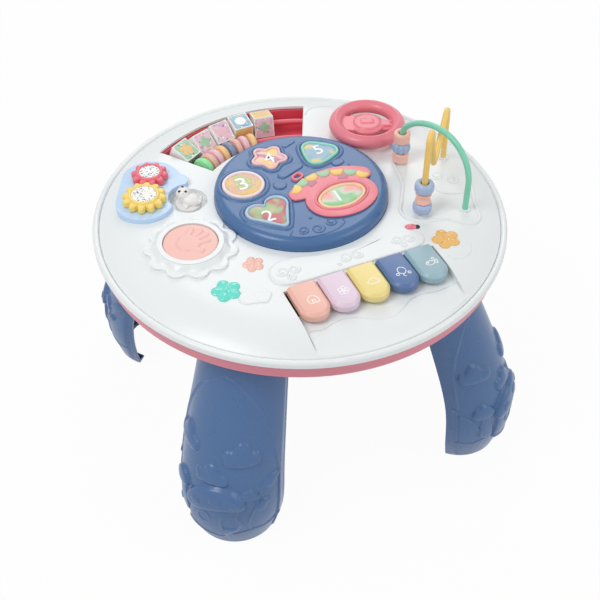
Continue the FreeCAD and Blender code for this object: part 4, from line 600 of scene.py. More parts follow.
def leg_relief(angle, height):
    """The moulded picture, in millimetres of extra radius, over angle in degrees and height."""
    arc = 0.785
    u = angle * arc
    v = height

    def at(points, closed=False, steps=6):
        points = np.asarray(points, float) * (arc, 1)
        return smooth_line(points, steps, closed)

    def rounded(low, high, bottom, top, power=4):
        turn = np.linspace(0, 2 * np.pi, 40, endpoint=False)
        round_x = np.sign(np.cos(turn)) * np.abs(np.cos(turn)) ** (2 / power)
        round_y = np.sign(np.sin(turn)) * np.abs(np.sin(turn)) ** (2 / power)
        return np.stack([(low + high) / 2 * arc + (high - low) / 2 * arc * round_x,
                         (bottom + top) / 2 + (top - bottom) / 2 * round_y], axis=-1)

    def cloud(left, right, bottom, top):
        wide = right - left
        high = top - bottom
        return at([
            (left, bottom + high * 0.32), (left + wide * 0.06, bottom + high * 0.62),
            (left + wide * 0.24, bottom + high * 0.66), (left + wide * 0.4, top),
            (left + wide * 0.62, top - high * 0.04), (left + wide * 0.76, bottom + high * 0.6),
            (right - wide * 0.04, bottom + high * 0.5), (right, bottom + high * 0.2),
            (right - wide * 0.1, bottom), (left + wide * 0.5, bottom - high * 0.04),
            (left + wide * 0.1, bottom),
        ], closed=True)

    arch = at([(-75.5, 77), (-74.5, 94.5), (-70.5, 117), (-59, 137.5), (-39.5, 159.5), (-27, 166.5),
               (-8.5, 176), (4.5, 176.5), (21, 168), (38, 154), (49, 141.5), (62, 120), (70, 98),
               (76, 84)])
    depth = np.where(inside(u, v, np.concatenate([arch, [(76 * arc, -20), (-75.5 * arc, -20)]])), -1, 1)
    form = 1.3 * ramp(depth * line_distance(u, v, arch), -1.4, 1.4)
    form = form + ridge(u, v, arch, 3.0, 0.5)
    for left, right, bottom, top in ((-67, -25, 104.5, 122.5), (6.5, 47.5, 103.5, 123),
                                     (-24, 14.5, 84, 100.5)):
        shape = cloud(left, right, bottom, top)
        form = form + plateau(u, v, shape, 1.1, 1.8, 2.2)
        form = form + ridge(u, v, np.concatenate([shape, shape[:1]]), 1.6, 0.35)
    form = form - plateau(u, v, rounded(-8, 1, 142.5, 146.5, 2), 0.9, 1.0)
    cap = at([(-32, 57), (-29, 67), (-19, 76), (-7, 80.5), (6, 82), (18.5, 80), (29, 73), (34, 65),
              (28, 60), (16, 60), (3, 58.5), (-10, 55), (-22, 53)], closed=True)
    body = np.array([(-27 * arc, 57), (-33 * arc, 30), (-27 * arc, 22), (-11.5 * arc, 17), (10 * arc, 19),
                     (27 * arc, 30), (30 * arc, 38), (24 * arc, 62), (0, 64)])
    form = form + plateau(u, v, body, 1.8, 1.8, 1.3)
    form = np.maximum(form, plateau(u, v, cap, 3.2, 2.6, 2.6))
    form = form + ridge(u, v, rounded(9, 26, 34, 53)[np.r_[0:40, 0]], 1.8, 0.8)
    form = form - plateau(u, v, rounded(10.5, 24.5, 35.5, 51.5), 0.6, 1.0)
    form = form + ridge(u, v, rounded(-16, -3, 40, 53, 2)[np.r_[0:40, 0]], 1.8, 0.7)
    for left, right, bottom, top in ((-22, -12, 61, 69), (-2, 10, 67, 76), (18, 27, 65, 72)):
        form = form + plateau(u, v, rounded(left, right, bottom, top, 2), 0.7, 0.9, 0.3)
    small_cap = at([(-60, 67), (-56, 74), (-47, 77.5), (-38, 75), (-33, 67), (-40, 63), (-53, 62)],
                   closed=True)
    stem = np.array([(-50 * arc, 64), (-52 * arc, 36), (-40 * arc, 31), (-33 * arc, 34), (-39 * arc, 64)])
    form = np.maximum(form, plateau(u, v, stem, 1.5, 1.4, 0.4))
    form = np.maximum(form, plateau(u, v, small_cap, 2.4, 1.6, 1.4))
    stalk = at([(52, 78), (47, 62), (41, 50), (38, 39.5), (40, 28)])
    form = form + ridge(u, v, stalk, 2.2, 1.2)
    for left, right, base in ((26, 50, 72), (52, 76, 78), (44, 62, 56)):
        tilt = 5 if left > 40 else -4
        leaf = at([(left, base), ((left + right) / 2, base + 7), (right, base + tilt),
                   ((left + right) / 2, base - 4)], closed=True)
        form = np.maximum(form, form * 0.3 + plateau(u, v, leaf, 1.7, 1.3, 0.8))
    ground = at([(-80, 30), (-60, 26), (-38, 31), (-18.5, 24), (10, 20), (41, 25), (62, 22), (80, 28)])
    form = form + ridge(u, v, ground, 2.2, 0.8)
    bush = at([(-84, 70), (-79.5, 76), (-73, 68), (-62, 62), (-54, 50), (-50, 36)])
    form = form + ridge(u, v, bush, 2.2, 1.0)
    fade = ramp(86 - np.abs(angle), 0, 9) * ramp(height, 1, 7) * ramp(194 - height, 0, 8)
    return form * fade


def leg_rings(turn, across=232, inner=25):
    """Closed rings of a leg, low to high: the outer half turn, then the inner one backwards.

    A point is (c + r cos a, r sin a) with c the section's middle and r its radius, turned to the
    leg's azimuth. The outer radius adds the picture; the inner one is the wall or the foot's lip.
    """
    levels = np.concatenate([[0, 0.25, 0.8, 1.8, 2.99, 3.01], np.linspace(4, 192, 270),
                             [193.8, 194, 194.01, 195.5, 196.6, 197.1]])
    reach = natural_spline(LEG_LEVELS[:, 0], LEG_LEVELS[:, 1], np.clip(levels, 0, 197))
    half = natural_spline(LEG_LEVELS[:, 0], LEG_LEVELS[:, 2], np.clip(levels, 0, 197))
    angle = np.linspace(-90, 90, across)
    grid_angle, grid_level = np.meshgrid(angle, levels)
    relief = leg_relief(grid_angle, grid_level)
    toe = 0.8 * (1 - np.sqrt(np.clip(1 - (1 - np.clip(levels / 0.8, 0, 1)) ** 2, 0, 1)))
    outer = half[:, None] + relief - toe[:, None]
    inner_rad = np.where(levels < FOOT_HIGH, half - FOOT_LIP, half - LEG_WALL)
    inner_rad = np.where(levels > 194, 0.6, inner_rad)
    back = np.linspace(90, -90, inner)

    def spot(radius, turn_deg):
        circle = turn_points(turn_deg)
        return (reach - half)[:, None] + radius * circle[None, :, 0], radius * circle[None, :, 1]

    outer_x, outer_y = spot(outer, angle)
    inner_x, inner_y = spot(np.broadcast_to(inner_rad[:, None], (len(levels), inner)), back)
    x = np.concatenate([outer_x, inner_x], axis=1)
    y = np.concatenate([outer_y, inner_y], axis=1)
    cos_turn, sin_turn = math.cos(math.radians(turn)), math.sin(math.radians(turn))
    return np.stack([x * cos_turn - y * sin_turn, x * sin_turn + y * cos_turn,
                     np.broadcast_to(levels[:, None], x.shape)], axis=-1)


# %% Make the four legs
for name, turn in (("leg_front_left", -135), ("leg_front_right", -45), ("leg_back_right", 45),
                   ("leg_back_left", 135)):
    points, faces = skin(leg_rings(turn))
    piece(name + "_moulded", points, faces, "table", FINISH["leg"], "leg_blue", 50, [name])
print("leg faces", len(faces))

# %% [markdown]
# ## Prints
#
# The button windows and the blocks carry small printed pictures. They are left generic here:
# soft patches of the same colours with dots. One function builds such a print from two textures:
# smooth noise chooses the patch, and a cell pattern drops round dots on it.

# %% Printed finish
def printed(name, colours, dot_colours=None, patch=40, dots=260, dot_size=0.22, shift=(0, 0, 0),
            roughness=0.3, hard=False):
    """A print: noise picks a colour from a ramp, and cells under a radius take a dot colour."""
    material = plastic(name, colours[0], roughness, 0.03, 0.06)
    tree = material.node_tree
    node = tree.nodes.new
    link = tree.links.new
    group = next(item for item in tree.nodes if item.type == "GROUP")
    place = node("ShaderNodeTexCoord")
    move = node("ShaderNodeMapping")
    move.inputs["Location"].default_value = shift
    noise = node("ShaderNodeTexNoise")
    noise.inputs["Scale"].default_value = patch
    noise.inputs["Detail"].default_value = 1.0
    noise.inputs["Distortion"].default_value = 0.6
    ramp_node = node("ShaderNodeValToRGB")
    ramp_node.color_ramp.interpolation = "CONSTANT" if hard else "EASE"
    stops = ramp_node.color_ramp.elements
    spread = np.linspace(0.36, 0.64, len(colours))
    stops[0].position = 0.0 if hard else spread[0]
    stops[0].color = linear(colours[0])
    stops[1].position = spread[-1]
    stops[1].color = linear(colours[-1])
    for position, colour in zip(spread[1:-1], colours[1:-1]):
        stops.new(position).color = linear(colour)
    link(place.outputs["Object"], move.inputs["Vector"])
    link(move.outputs["Vector"], noise.inputs["Vector"])
    link(noise.outputs["Fac"], ramp_node.inputs["Fac"])
    result = ramp_node.outputs["Color"]
    if dot_colours:
        cells = node("ShaderNodeTexVoronoi")
        cells.inputs["Scale"].default_value = dots
        small = node("ShaderNodeMath")
        small.operation = "LESS_THAN"
        small.inputs[1].default_value = dot_size
        parts = node("ShaderNodeSeparateColor")
        dot_ramp = node("ShaderNodeValToRGB")
        dot_ramp.color_ramp.interpolation = "CONSTANT"
        stops = dot_ramp.color_ramp.elements
        stops[0].color = linear(dot_colours[0])
        stops[1].position = 1.0 - 1.0 / len(dot_colours)
        stops[1].color = linear(dot_colours[-1])
        for count, colour in enumerate(dot_colours[1:-1], start=1):
            stops.new(count / len(dot_colours)).color = linear(colour)
        mix_node = node("ShaderNodeMix")
        mix_node.data_type = "RGBA"
        link(move.outputs["Vector"], cells.inputs["Vector"])
        link(cells.outputs["Distance"], small.inputs[0])
        link(cells.outputs["Color"], parts.inputs[0])
        link(parts.outputs[0], dot_ramp.inputs["Fac"])
        link(small.outputs[0], mix_node.inputs["Factor"])
        link(result, mix_node.inputs[6])
        link(dot_ramp.outputs["Color"], mix_node.inputs[7])
        result = mix_node.outputs[2]
    link(result, group.inputs["Colour"])
    return material


# %% Colours of the small pieces
for name, colour, roughness in (
    ("cream", (252, 216, 172), 0.3), ("light_blue", (176, 202, 226), 0.3),
    ("pale_pink", (245, 226, 232), 0.3), ("rose", (244, 202, 202), 0.3),
    ("mint", (152, 220, 200), 0.3), ("peach", (240, 186, 170), 0.32),
    ("lilac", (228, 206, 222), 0.32), ("yellow", (240, 220, 142), 0.32),
    ("key_blue", (88, 116, 164), 0.34), ("grey_teal", (156, 186, 196), 0.34),
    ("gear_yellow", (250, 220, 122), 0.34), ("gear_red", (238, 118, 132), 0.34),
    ("ring_green", (152, 238, 168), 0.28), ("ring_peach", (240, 188, 168), 0.3),
    ("ring_pink", (240, 196, 206), 0.3), ("ring_orange", (246, 202, 142), 0.3),
    ("ring_grey", (132, 148, 178), 0.3), ("bead_blue", (172, 190, 222), 0.3),
    ("bead_peach", (252, 196, 178), 0.3), ("teal", (100, 224, 206), 0.16),
    ("peach_light", (248, 196, 178), 0.18), ("orange", (240, 188, 104), 0.16),
    ("red_light", (234, 118, 134), 0.16), ("black", (30, 30, 34), 0.3),
    ("ink_white", (250, 250, 248), 0.34), ("mauve", (196, 120, 146), 0.34),
    ("awning_yellow", (244, 208, 118), 0.34), ("awning_mint", (168, 208, 172), 0.34),
    ("block_body", (244, 244, 238), 0.34),
):
    FINISH[name] = plastic(name, colour, roughness, 0.04, 0.08, 0.015)

DOTS = [(250, 250, 245), (120, 150, 190), (240, 150, 160), (120, 180, 140)]
PRINTS = {
    "button_1": printed("print_1", [(236, 150, 150), (240, 172, 164), (206, 214, 196), (140, 200, 140)],
                        None, 42, shift=(0.031, 0.02, 0)),
    "button_2": printed("print_2", [(240, 160, 160), (238, 176, 168), (150, 190, 130), (196, 110, 110)],
                        None, 46, shift=(0.012, 0.04, 0)),
    "button_3": printed("print_3", [(190, 204, 120), (232, 196, 96), (226, 176, 150), (170, 196, 130)],
                        [(240, 200, 190), (236, 206, 130)], 44, 420, 0.3, (0.02, 0.03, 0)),
    "button_4": printed("print_4", [(244, 206, 120), (240, 196, 196), (190, 130, 150), (236, 224, 226)],
                        None, 60, shift=(0.05, 0.01, 0)),
    "button_5": printed("print_5", [(236, 206, 130), (150, 186, 200), (150, 176, 206), (150, 196, 150)],
                        None, 50, shift=(0.02, 0.06, 0)),
    "tile_pink": printed("tile_pink", [(236, 196, 212), (240, 208, 220), (230, 186, 206)], DOTS, 90,
                         300, 0.3),
    "tile_mint": printed("tile_mint", [(164, 206, 176), (176, 214, 184), (150, 198, 170)],
                         [(240, 200, 210), (250, 250, 245), (110, 150, 130)], 90, 280, 0.26, (0.01, 0, 0)),
    "tile_yellow": printed("tile_yellow", [(240, 208, 120), (246, 216, 140), (236, 200, 116)],
                           [(250, 244, 220), (230, 170, 120)], 90, 260, 0.22, (0.02, 0, 0)),
    "tile_blue": printed("tile_blue", [(150, 190, 212), (170, 204, 214), (140, 178, 206)],
                         [(250, 250, 245), (240, 180, 190), (230, 210, 140)], 90, 300, 0.28, (0.03, 0, 0)),
    "gear_disc": printed("gear_disc", [(250, 248, 244), (236, 240, 238), (248, 244, 238)],
                         [(60, 70, 80), (230, 140, 150), (150, 200, 190), (120, 130, 140)], 120, 420, 0.34),
}
print("finishes", len(FINISH), "prints", len(PRINTS))


# %% [markdown]
# ## Outlines
#
# Buttons, flowers, relief fields and plates are all closed outlines. Some are read from the top of
# a solid so that they fit its mouth, some are unions of circles, and some are smooth loops.

# %% Outline helpers
def mesh_points(node):
    """All corners of a solid node in millimetres."""
    mesh = nodes[node].data
    flat = np.zeros(len(mesh.vertices) * 3)
    mesh.vertices.foreach_get("co", flat)
    return flat.reshape(-1, 3) * 1000


def cap_outline(node, count=180):
    """The outline of a solid's flat top, spread evenly along its length."""
    points = mesh_points(node)
    top = np.unique(np.round(points[points[:, 2] > points[:, 2].max() - 0.01][:, :2], 3), axis=0)
    middle = (top.min(axis=0) + top.max(axis=0)) / 2
    order = np.argsort(np.arctan2(top[:, 1] - middle[1], top[:, 0] - middle[0]))
    loop = top[np.append(order, order[0])]
    step = np.concatenate([[0], np.cumsum(np.hypot(*np.diff(loop, axis=0).T))])
    where = np.linspace(0, step[-1], count, endpoint=False)
    return np.stack([np.interp(where, step, loop[:, axis]) for axis in (0, 1)], axis=-1)


def blob(circles, count=180, soften=0, centre=(0, 0)):
    """Outline of a union of circles (x, y, r) seen from a centre: the farthest circle in each direction."""
    circles = np.asarray(circles, float)
    way = turn_points(np.linspace(0, 360, count, endpoint=False))
    offset = circles[:, :2] - np.asarray(centre, float)
    along = offset @ way.T
    inner = circles[:, 2:3] ** 2 - (offset ** 2).sum(axis=1)[:, None] + along ** 2
    reach = np.where(inner > 0, along + np.sqrt(np.maximum(inner, 0)), 0).max(axis=0)
    for _ in range(soften):
        reach = (np.roll(reach, 1) + 2 * reach + np.roll(reach, -1)) / 4
    return np.asarray(centre, float) + way * reach[:, None]


def pushed(outline, distance):
    """The outline moved straight away from its middle, which never makes it cross itself."""
    middle = (outline.min(axis=0) + outline.max(axis=0)) / 2
    way = outline - middle
    reach = np.linalg.norm(way, axis=1, keepdims=True)
    return middle + way * (1 + distance / reach)


def pushed_slab(outline, profile):
    """Rings of an outline pushed out or drawn in by (distance, height) steps."""
    return skin([np.column_stack([pushed(outline, step), np.full(len(outline), float(height))])
                 for step, height in profile])


def pushed_band(outline, profile):
    """A closed band along an outline: the profile of (distance, height) points is a loop."""
    return skin([np.column_stack([pushed(outline, step), np.full(len(outline), float(height))])
                 for step, height in profile], wrap=True)


def turned_by(points, angle):
    """Points (x, y) turned by degrees about the origin."""
    c, s = math.cos(math.radians(angle)), math.sin(math.radians(angle))
    return np.asarray(points, float) @ np.array([[c, s], [-s, c]])


# %% [markdown]
# ## The five picture buttons
#
# A button is a cap with a rounded rim and a window a little below it. The window holds the print
# and a raised numeral. The blue panel rises round each button in a soft collar, which hides the
# gap that lets the button move.

# %% Numerals
def letter(text, height, middle, top, thick=0.25, turn=0):
    """A flat extruded numeral as points and faces, centred on a place, with its top at a height."""
    curve = bpy.data.curves.new("numeral", "FONT")
    curve.body = text
    curve.size = height * 1.35 * 0.001
    curve.extrude = thick * 0.5 * 0.001
    curve.offset = 0.0001
    curve.align_x = "CENTER"
    curve.align_y = "CENTER"
    curve.resolution_u = 6
    holder = bpy.data.objects.new("numeral", curve)
    bpy.context.scene.collection.objects.link(holder)
    mesh = bpy.data.meshes.new_from_object(holder.evaluated_get(bpy.context.evaluated_depsgraph_get()))
    work = bmesh.new()
    work.from_mesh(mesh)
    bmesh.ops.remove_doubles(work, verts=work.verts, dist=1e-7)
    bmesh.ops.recalc_face_normals(work, faces=work.faces)
    work.to_mesh(mesh)
    work.free()
    flat = np.zeros(len(mesh.vertices) * 3)
    mesh.vertices.foreach_get("co", flat)
    points = flat.reshape(-1, 3) * 1000
    faces = [list(face.vertices) for face in mesh.polygons]
    bpy.data.objects.remove(holder)
    spread = turned_by(points[:, :2] - (points[:, :2].min(axis=0) + points[:, :2].max(axis=0)) / 2, turn)
    return np.column_stack([spread + np.asarray(middle), points[:, 2] + top - thick / 2]), faces


# %% Caps, windows and collars
PANEL_TOP = 245.0
BUTTONS = {
    "button_1": ("cream", "cream_plastic", (-4, 0.5), 15),
    "button_2": ("light_blue", "light_blue_plastic", (-3, -2.5), 15),
    "button_3": ("pale_pink", "pale_pink_plastic", (-1, 1), 17),
    "button_4": ("rose", "rose_plastic", (0, -1), 14.5),
    "button_5": ("mint", "mint_plastic", (-1, 2.5), 13.5),
}
RIM_PROFILE = [(0, 238.6), (0, 246.2), (-0.2, 246.8), (-0.7, 247.3), (-1.4, 247.5), (-2.1, 247.4),
               (-2.7, 247.0), (-3.0, 246.4), (-3.1, 245.7)]
COLLAR_PROFILE = [(5.0, 244.6), (4.7, 245.2), (4.0, 245.8), (3.0, 246.15), (1.9, 246.2), (1.0, 245.9),
                  (0.6, 245.3), (0.55, 244.6)]
for name, (rim, slot, spot, tall) in BUTTONS.items():
    outline = cap_outline(name)
    middle = (outline.min(axis=0) + outline.max(axis=0)) / 2
    piece(name + "_rim", *pushed_slab(outline, RIM_PROFILE), name, FINISH[rim], slot, 50, [name])
    piece(name + "_window", *pushed_slab(outline, [(-2.9, 245.5), (-2.95, 246.1), (-3.6, 246.3),
                                                   (-7, 246.45)]),
          name, PRINTS[name], slot, 40)
    piece(name + "_numeral", *letter(name[-1], tall, middle + spot, 246.85, 0.5), name, FINISH["ink_white"],
          "white_plastic", 30)
    if name != "button_1":
        piece(name + "_collar", *pushed_band(outline, COLLAR_PROFILE), "table", FINISH["panel"],
              "panel_blue", 50)
print("buttons", len(BUTTONS))


# %% [markdown]
# ## Relief on the blue panel and on the deck
#
# Flat fields and thin lines are moulded into both. A field is an outline with a rounded edge that
# follows the deck's height, and a line is half an ellipse carried along a path.

# %% Draped fields and lines
def flat_panel(x, y):
    """Height of the blue panel's flat top."""
    return np.full(np.shape(x), PANEL_TOP)


def key_floor(x, y):
    """Height of the sunk floor in front of the keys, a plane that falls towards the rim."""
    return 226.8 + (np.asarray(y) + 135.5) * 2.9 / 38.3


def draped_line(path, width=1.6, height=0.6, ground=deck_height):
    """A ridge: across the path the height is that of half an ellipse, ends tapered."""
    path = smooth_line(path, 7)
    way = np.gradient(path, axis=0)
    way /= np.linalg.norm(way, axis=1, keepdims=True)
    side = np.stack([-way[:, 1], way[:, 0]], axis=-1)
    turn = np.linspace(-180, 180, 14, endpoint=False)
    across = np.cos(np.radians(turn)) * width / 2
    rise = np.where(np.sin(np.radians(turn)) > 0, np.sin(np.radians(turn)) * height,
                    np.sin(np.radians(turn)) * 0.35)
    run = np.linspace(0, 1, len(path))
    taper = np.sqrt(np.clip(np.minimum(run, 1 - run) * 14, 0.04, 1))
    flat = path[:, None, :] + side[:, None, :] * (across[None, :, None] * taper[:, None, None])
    z = ground(flat[..., 0], flat[..., 1]) + rise[None, :] * taper[:, None]
    rings = np.concatenate([flat, z[..., None]], axis=-1)
    return skin(rings)


def draped_field(outline, height=0.8, edge=1.4, ground=deck_height, crown=0.0, levels=12):
    """A raised field: rings drawn to the middle, the outer ones rounded, all laid on the ground."""
    middle = (outline.min(axis=0) + outline.max(axis=0)) / 2
    reach = np.linalg.norm(outline - middle, axis=1).mean()
    rows = [(0.0, -0.4)] + [(edge * (1 - math.cos(t)), height * math.sin(t))
                            for t in np.linspace(0, np.pi / 2, 5)]
    rows += [(edge + (reach * 0.96 - edge) * share, height + crown * math.sin(share * np.pi / 2))
             for share in np.linspace(0, 1, levels)[1:]]
    rings = []
    for inset, rise in rows:
        flat = middle + (outline - middle) * max(1 - inset / reach, 0.02)
        rings.append(np.column_stack([flat, ground(flat[:, 0], flat[:, 1]) + rise]))
    return skin(rings)


def capsule(start, end, radius, count=120):
    """Outline of a bar with round ends between two places."""
    start, end = np.asarray(start, float), np.asarray(end, float)
    steps = np.linspace(0, 1, 24)[:, None]
    chain = start + (end - start) * steps
    return blob(np.column_stack([chain, np.full(24, radius)]), count, 0, (start + end) / 2)


def curl(x, y, size, turn=0, hand=1):
    """A cloud curl: a spiral of one and a half turns."""
    angle = np.linspace(0, 500, 16) * hand + turn
    reach = size * np.linspace(1, 0.28, 16)
    return np.array([x, y]) + turn_points(angle) * reach[:, None]


# %% Blue relief
blue_relief = join_skins(
    draped_field(capsule((-5, 27), (14, 34.5), 4.4), 1.1, 1.3, flat_panel),
    draped_field(blob([(0, 0, 6.2)]) + np.array([-12, 15.5]), 1.1, 1.4, flat_panel),
    draped_field(capsule((46, 24), (50, 25), 4.2), 1.0, 1.3, flat_panel),
    draped_field(capsule((57, 17), (62, 9), 2.6), 0.9, 1.2, flat_panel),
    draped_field(blob([(0, 0, 1.8)]) + np.array([-56, 44]), 0.7, 0.9, flat_panel),
    draped_field(blob([(0, 0, 1.6)]) + np.array([-6, -35]), 0.7, 0.9, flat_panel),
    draped_field(capsule((14, 66), (24, 70), 2.4), 0.8, 1.1, flat_panel),
    draped_line(curl(-18, -47, 5, 200), 1.5, 0.6, flat_panel),
    draped_line(curl(-6, -50, 6, 20, -1), 1.5, 0.6, flat_panel),
    draped_line(curl(8, -46, 5.4, 180), 1.5, 0.6, flat_panel),
    draped_line([(-26, -44), (-30, -49), (-22, -55), (-8, -58), (8, -57), (18, -51), (17, -45)], 1.5, 0.5,
                flat_panel),
)
piece("panel_relief", *blue_relief, "table", FINISH["panel"], "panel_blue", 50)

# %% White relief on the deck
PILL = smooth_line([
    (-61.7, -76), (-60.5, -85.5), (-52, -91.5), (-40, -93.6), (-15, -94), (18.4, -94.4), (50, -94.6),
    (68, -93.4), (75.5, -86), (74, -77.5), (64, -72.2), (48, -72.4), (31.1, -75.5), (8.4, -73.5),
    (-18, -70.2), (-34, -65.5), (-48, -64.6), (-58, -68.5),
], 6, True)
WAVE = smooth_line([(-60, -140), (-52, -138.4), (-44, -140), (-38, -138.6), (-28, -136.4),
                    (-18, -137.4), (-9.6, -141.5),
                    (2, -147.5), (14, -149), (25, -144), (34, -138.4), (44, -137), (56, -138.8),
                    (66, -138.4), (78, -137)], 6)
# The step runs from the wavy line to the rim: a sheet over (x, share of the way) with a thin body.
step_x = np.linspace(-56.5, 75.5, 150)[:, None]
step_from = np.interp(step_x, WAVE[:, 0], WAVE[:, 1])
step_to = -np.sqrt(172.3 ** 2 - step_x ** 2)
way_down = np.concatenate([np.linspace(0, 0.16, 14), np.linspace(0.16, 1, 18)[1:]])[None]
step_y = step_from + (step_to - step_from) * way_down
step_rise = 1.25 * np.sqrt(ramp(step_from - step_y, 0, 2.4)) * (1 - ramp(way_down, 0.35, 0.98)) - 0.12
step_top = np.stack([np.broadcast_to(step_x, step_y.shape), step_y,
                     key_floor(step_x, step_y) + step_rise], axis=-1)
step_low = step_top[:, ::-1].copy()
step_low[..., 2] = key_floor(step_low[..., 0], step_low[..., 1]) - 0.7
wave_step = skin(np.concatenate([step_top, step_low], axis=1))
MAZE = [(104, 27), (100.6, 19.7), (98.3, 7.6), (95.5, -6), (92, -17), (86, -27), (79.6, -37), (73.6, -47),
        (74.5, -57), (84, -65.9), (95, -69.5), (104.9, -72), (113.9, -81), (123.9, -85.3), (133.4, -79.5),
        (137, -67), (143, -52), (150, -38), (154, -20)]
BOOK = smooth_line([(-94, -92.5), (-90, -85.6), (-85, -85.4), (-79, -88), (-73.6, -89.6),
                    (-67.2, -92.4), (-67.6, -97),
                    (-73.6, -103), (-79, -101), (-85, -99.6), (-90.5, -98)], 6, True)
white_relief = join_skins(
    draped_field(PILL, 1.9, 2.4),
    wave_step,
    draped_line(MAZE, 3.4, 1.5),
    draped_field(BOOK, 1.2, 1.5),
    draped_line([(-80.4, -87.6), (-80.6, -94), (-79.6, -100.6)], 1.2, 1.4),
    draped_line(curl(127, -16, 6.5, 160), 1.5, 0.7),
    draped_line(curl(137, -27, 6, 20, -1), 1.5, 0.7),
    draped_line([(119, -27), (117, -36), (126, -44), (137, -46), (143, -41)], 1.5, 0.7),
    draped_line([(107.5, -105.8), (104, -113), (96, -118.5), (86, -118), (83, -113)], 1.5, 0.6),
    draped_line([(58, 118), (66, 126), (80, 127), (92, 121)], 1.5, 0.6),
)
piece("deck_relief", *white_relief, "table", FINISH["white"], "white_plastic", 50)


def raised_deck(x, y):
    """Height of the field behind the keys."""
    return deck_height(x, y) + 1.85


pill_curls = join_skins(*[
    draped_line(curl(x, y, size, turn, hand), 1.9, 0.9, raised_deck)
    for x, y, size, turn, hand in (
        (-50, -77, 5.5, 170, 1), (-40, -78, 5, 10, -1), (-45, -86, 4, 90, 1), (4, -82, 5.5, 190, 1),
        (14, -83, 5, 0, -1), (-4, -88, 1.6, 0, 1), (52, -80, 5, 170, 1), (62, -82, 5.2, 10, -1),
        (55, -88, 3, 80, 1))
])
piece("cloud_curls", *pill_curls, "table", FINISH["white"], "white_plastic", 50)
print("relief pieces 3")


# %% [markdown]
# ## The house with an awning
#
# Button 1 sits in a coral plate shaped like a little shop: an oval below, a curved roof above, a
# chimney, and a row of scallops in yellow and mint. The plate itself is the solid with softer
# edges, and the rest is laid on it.

# %% Awning
PLATE_TOP = 247.0
softened("awning_plate", 0.7, FINISH["coral"])


def plate_height(x, y):
    """Height of the coral plate."""
    return np.full(np.shape(x), PLATE_TOP)


def scallop(x, y, wide, deep, turn):
    """A half-round tab: an ellipse whose upper half is cut straight."""
    angle = np.linspace(0, 360, 60, endpoint=False)
    flat = turn_points(angle + 180) * (wide, deep)
    flat[:, 1] = np.minimum(flat[:, 1], deep * 0.35)
    return turned_by(flat, turn) + np.array([x, y])


SCALLOPS = [(-3.2, 2.6, 55), (5.2, 9.2, 33), (16.2, 13.2, 16), (28.4, 14.0, 2), (40.4, 11.4, -14),
            (51.0, 6.4, -30), (59.6, -0.8, -46)]
for colour, slot, first in (("awning_yellow", "yellow_plastic", 0), ("awning_mint", "mint_plastic", 1)):
    tabs = [draped_field(scallop(x, y, 5.9, 6.0, turn), 0.9, 0.9, plate_height, 0.4, 5)
            for x, y, turn in SCALLOPS[first::2]]
    piece("scallops_" + colour, *join_skins(*tabs), "table", FINISH[colour], slot, 45)
patches = [draped_field(turned_by(np.array([(-4.4, -3), (4.4, -3), (5.2, 3.4), (-3.6, 3.4)]), turn)
                        + np.array([x, y]), 0.35, 0.4, plate_height, 0.0, 3)
    for x, y, turn in ((13.2, 4.4, 28), (41.6, 2.2, -12))]
piece("wall_patches", *join_skins(*patches), "table", FINISH["mauve"], "rose_plastic", 45)
oval = cap_outline("button_1")
piece("button_1_collar", *pushed_band(oval, [(3.2, 246.6), (3.1, 247.5), (2.6, 248.0), (1.8, 248.1),
                                             (1.1, 247.9),
                                             (0.7, 247.3), (0.65, 246.6)]), "table", FINISH["coral"],
      "coral_plastic", 50)
chimney = turned_by(np.array([(-4.6, -3.4), (4.6, -3.4), (4.6, 3.4), (-4.6, 3.4)]), 30)
chimney = smooth_line(chimney, 10, True) + np.array([6.2, 19.2])
piece("chimney", *pushed_band(chimney, [(0.2, 244.6), (0.2, 246.8), (-0.3, 247.3), (-1.6, 247.3),
                                        (-2.1, 246.8),
                                        (-2.1, 244.6)]), "table", FINISH["coral"], "coral_plastic", 50)
print("scallops", len(SCALLOPS))

# %% [markdown]
# ## Keys
#
# Five keys with flat tops, wide bevels and round fronts. Each one is the solid with its edges
# rounded, because the hinge arms behind it matter too, and a small white picture is printed near
# the front: simple generic shapes.

# %% Keys and their pictures
KEYS = {
    "key_1": ("peach", "peach_plastic"), "key_2": ("lilac", "lilac_plastic"),
    "key_3": ("yellow", "yellow_plastic"), "key_4": ("key_blue", "blue_plastic"),
    "key_5": ("grey_teal", "teal_plastic"),
}
KEY_TOP = 238.2


def key_height(x, y):
    """Height of the keys' flat tops."""
    return np.full(np.shape(x), KEY_TOP)


def ring_line(x, y, radius, high=1.0, turn=0, count=26):
    """A closed round line."""
    oval_line = turn_points(np.linspace(0, 360, count)) * (radius, radius * high)
    return turned_by(oval_line, turn) + np.array([x, y])


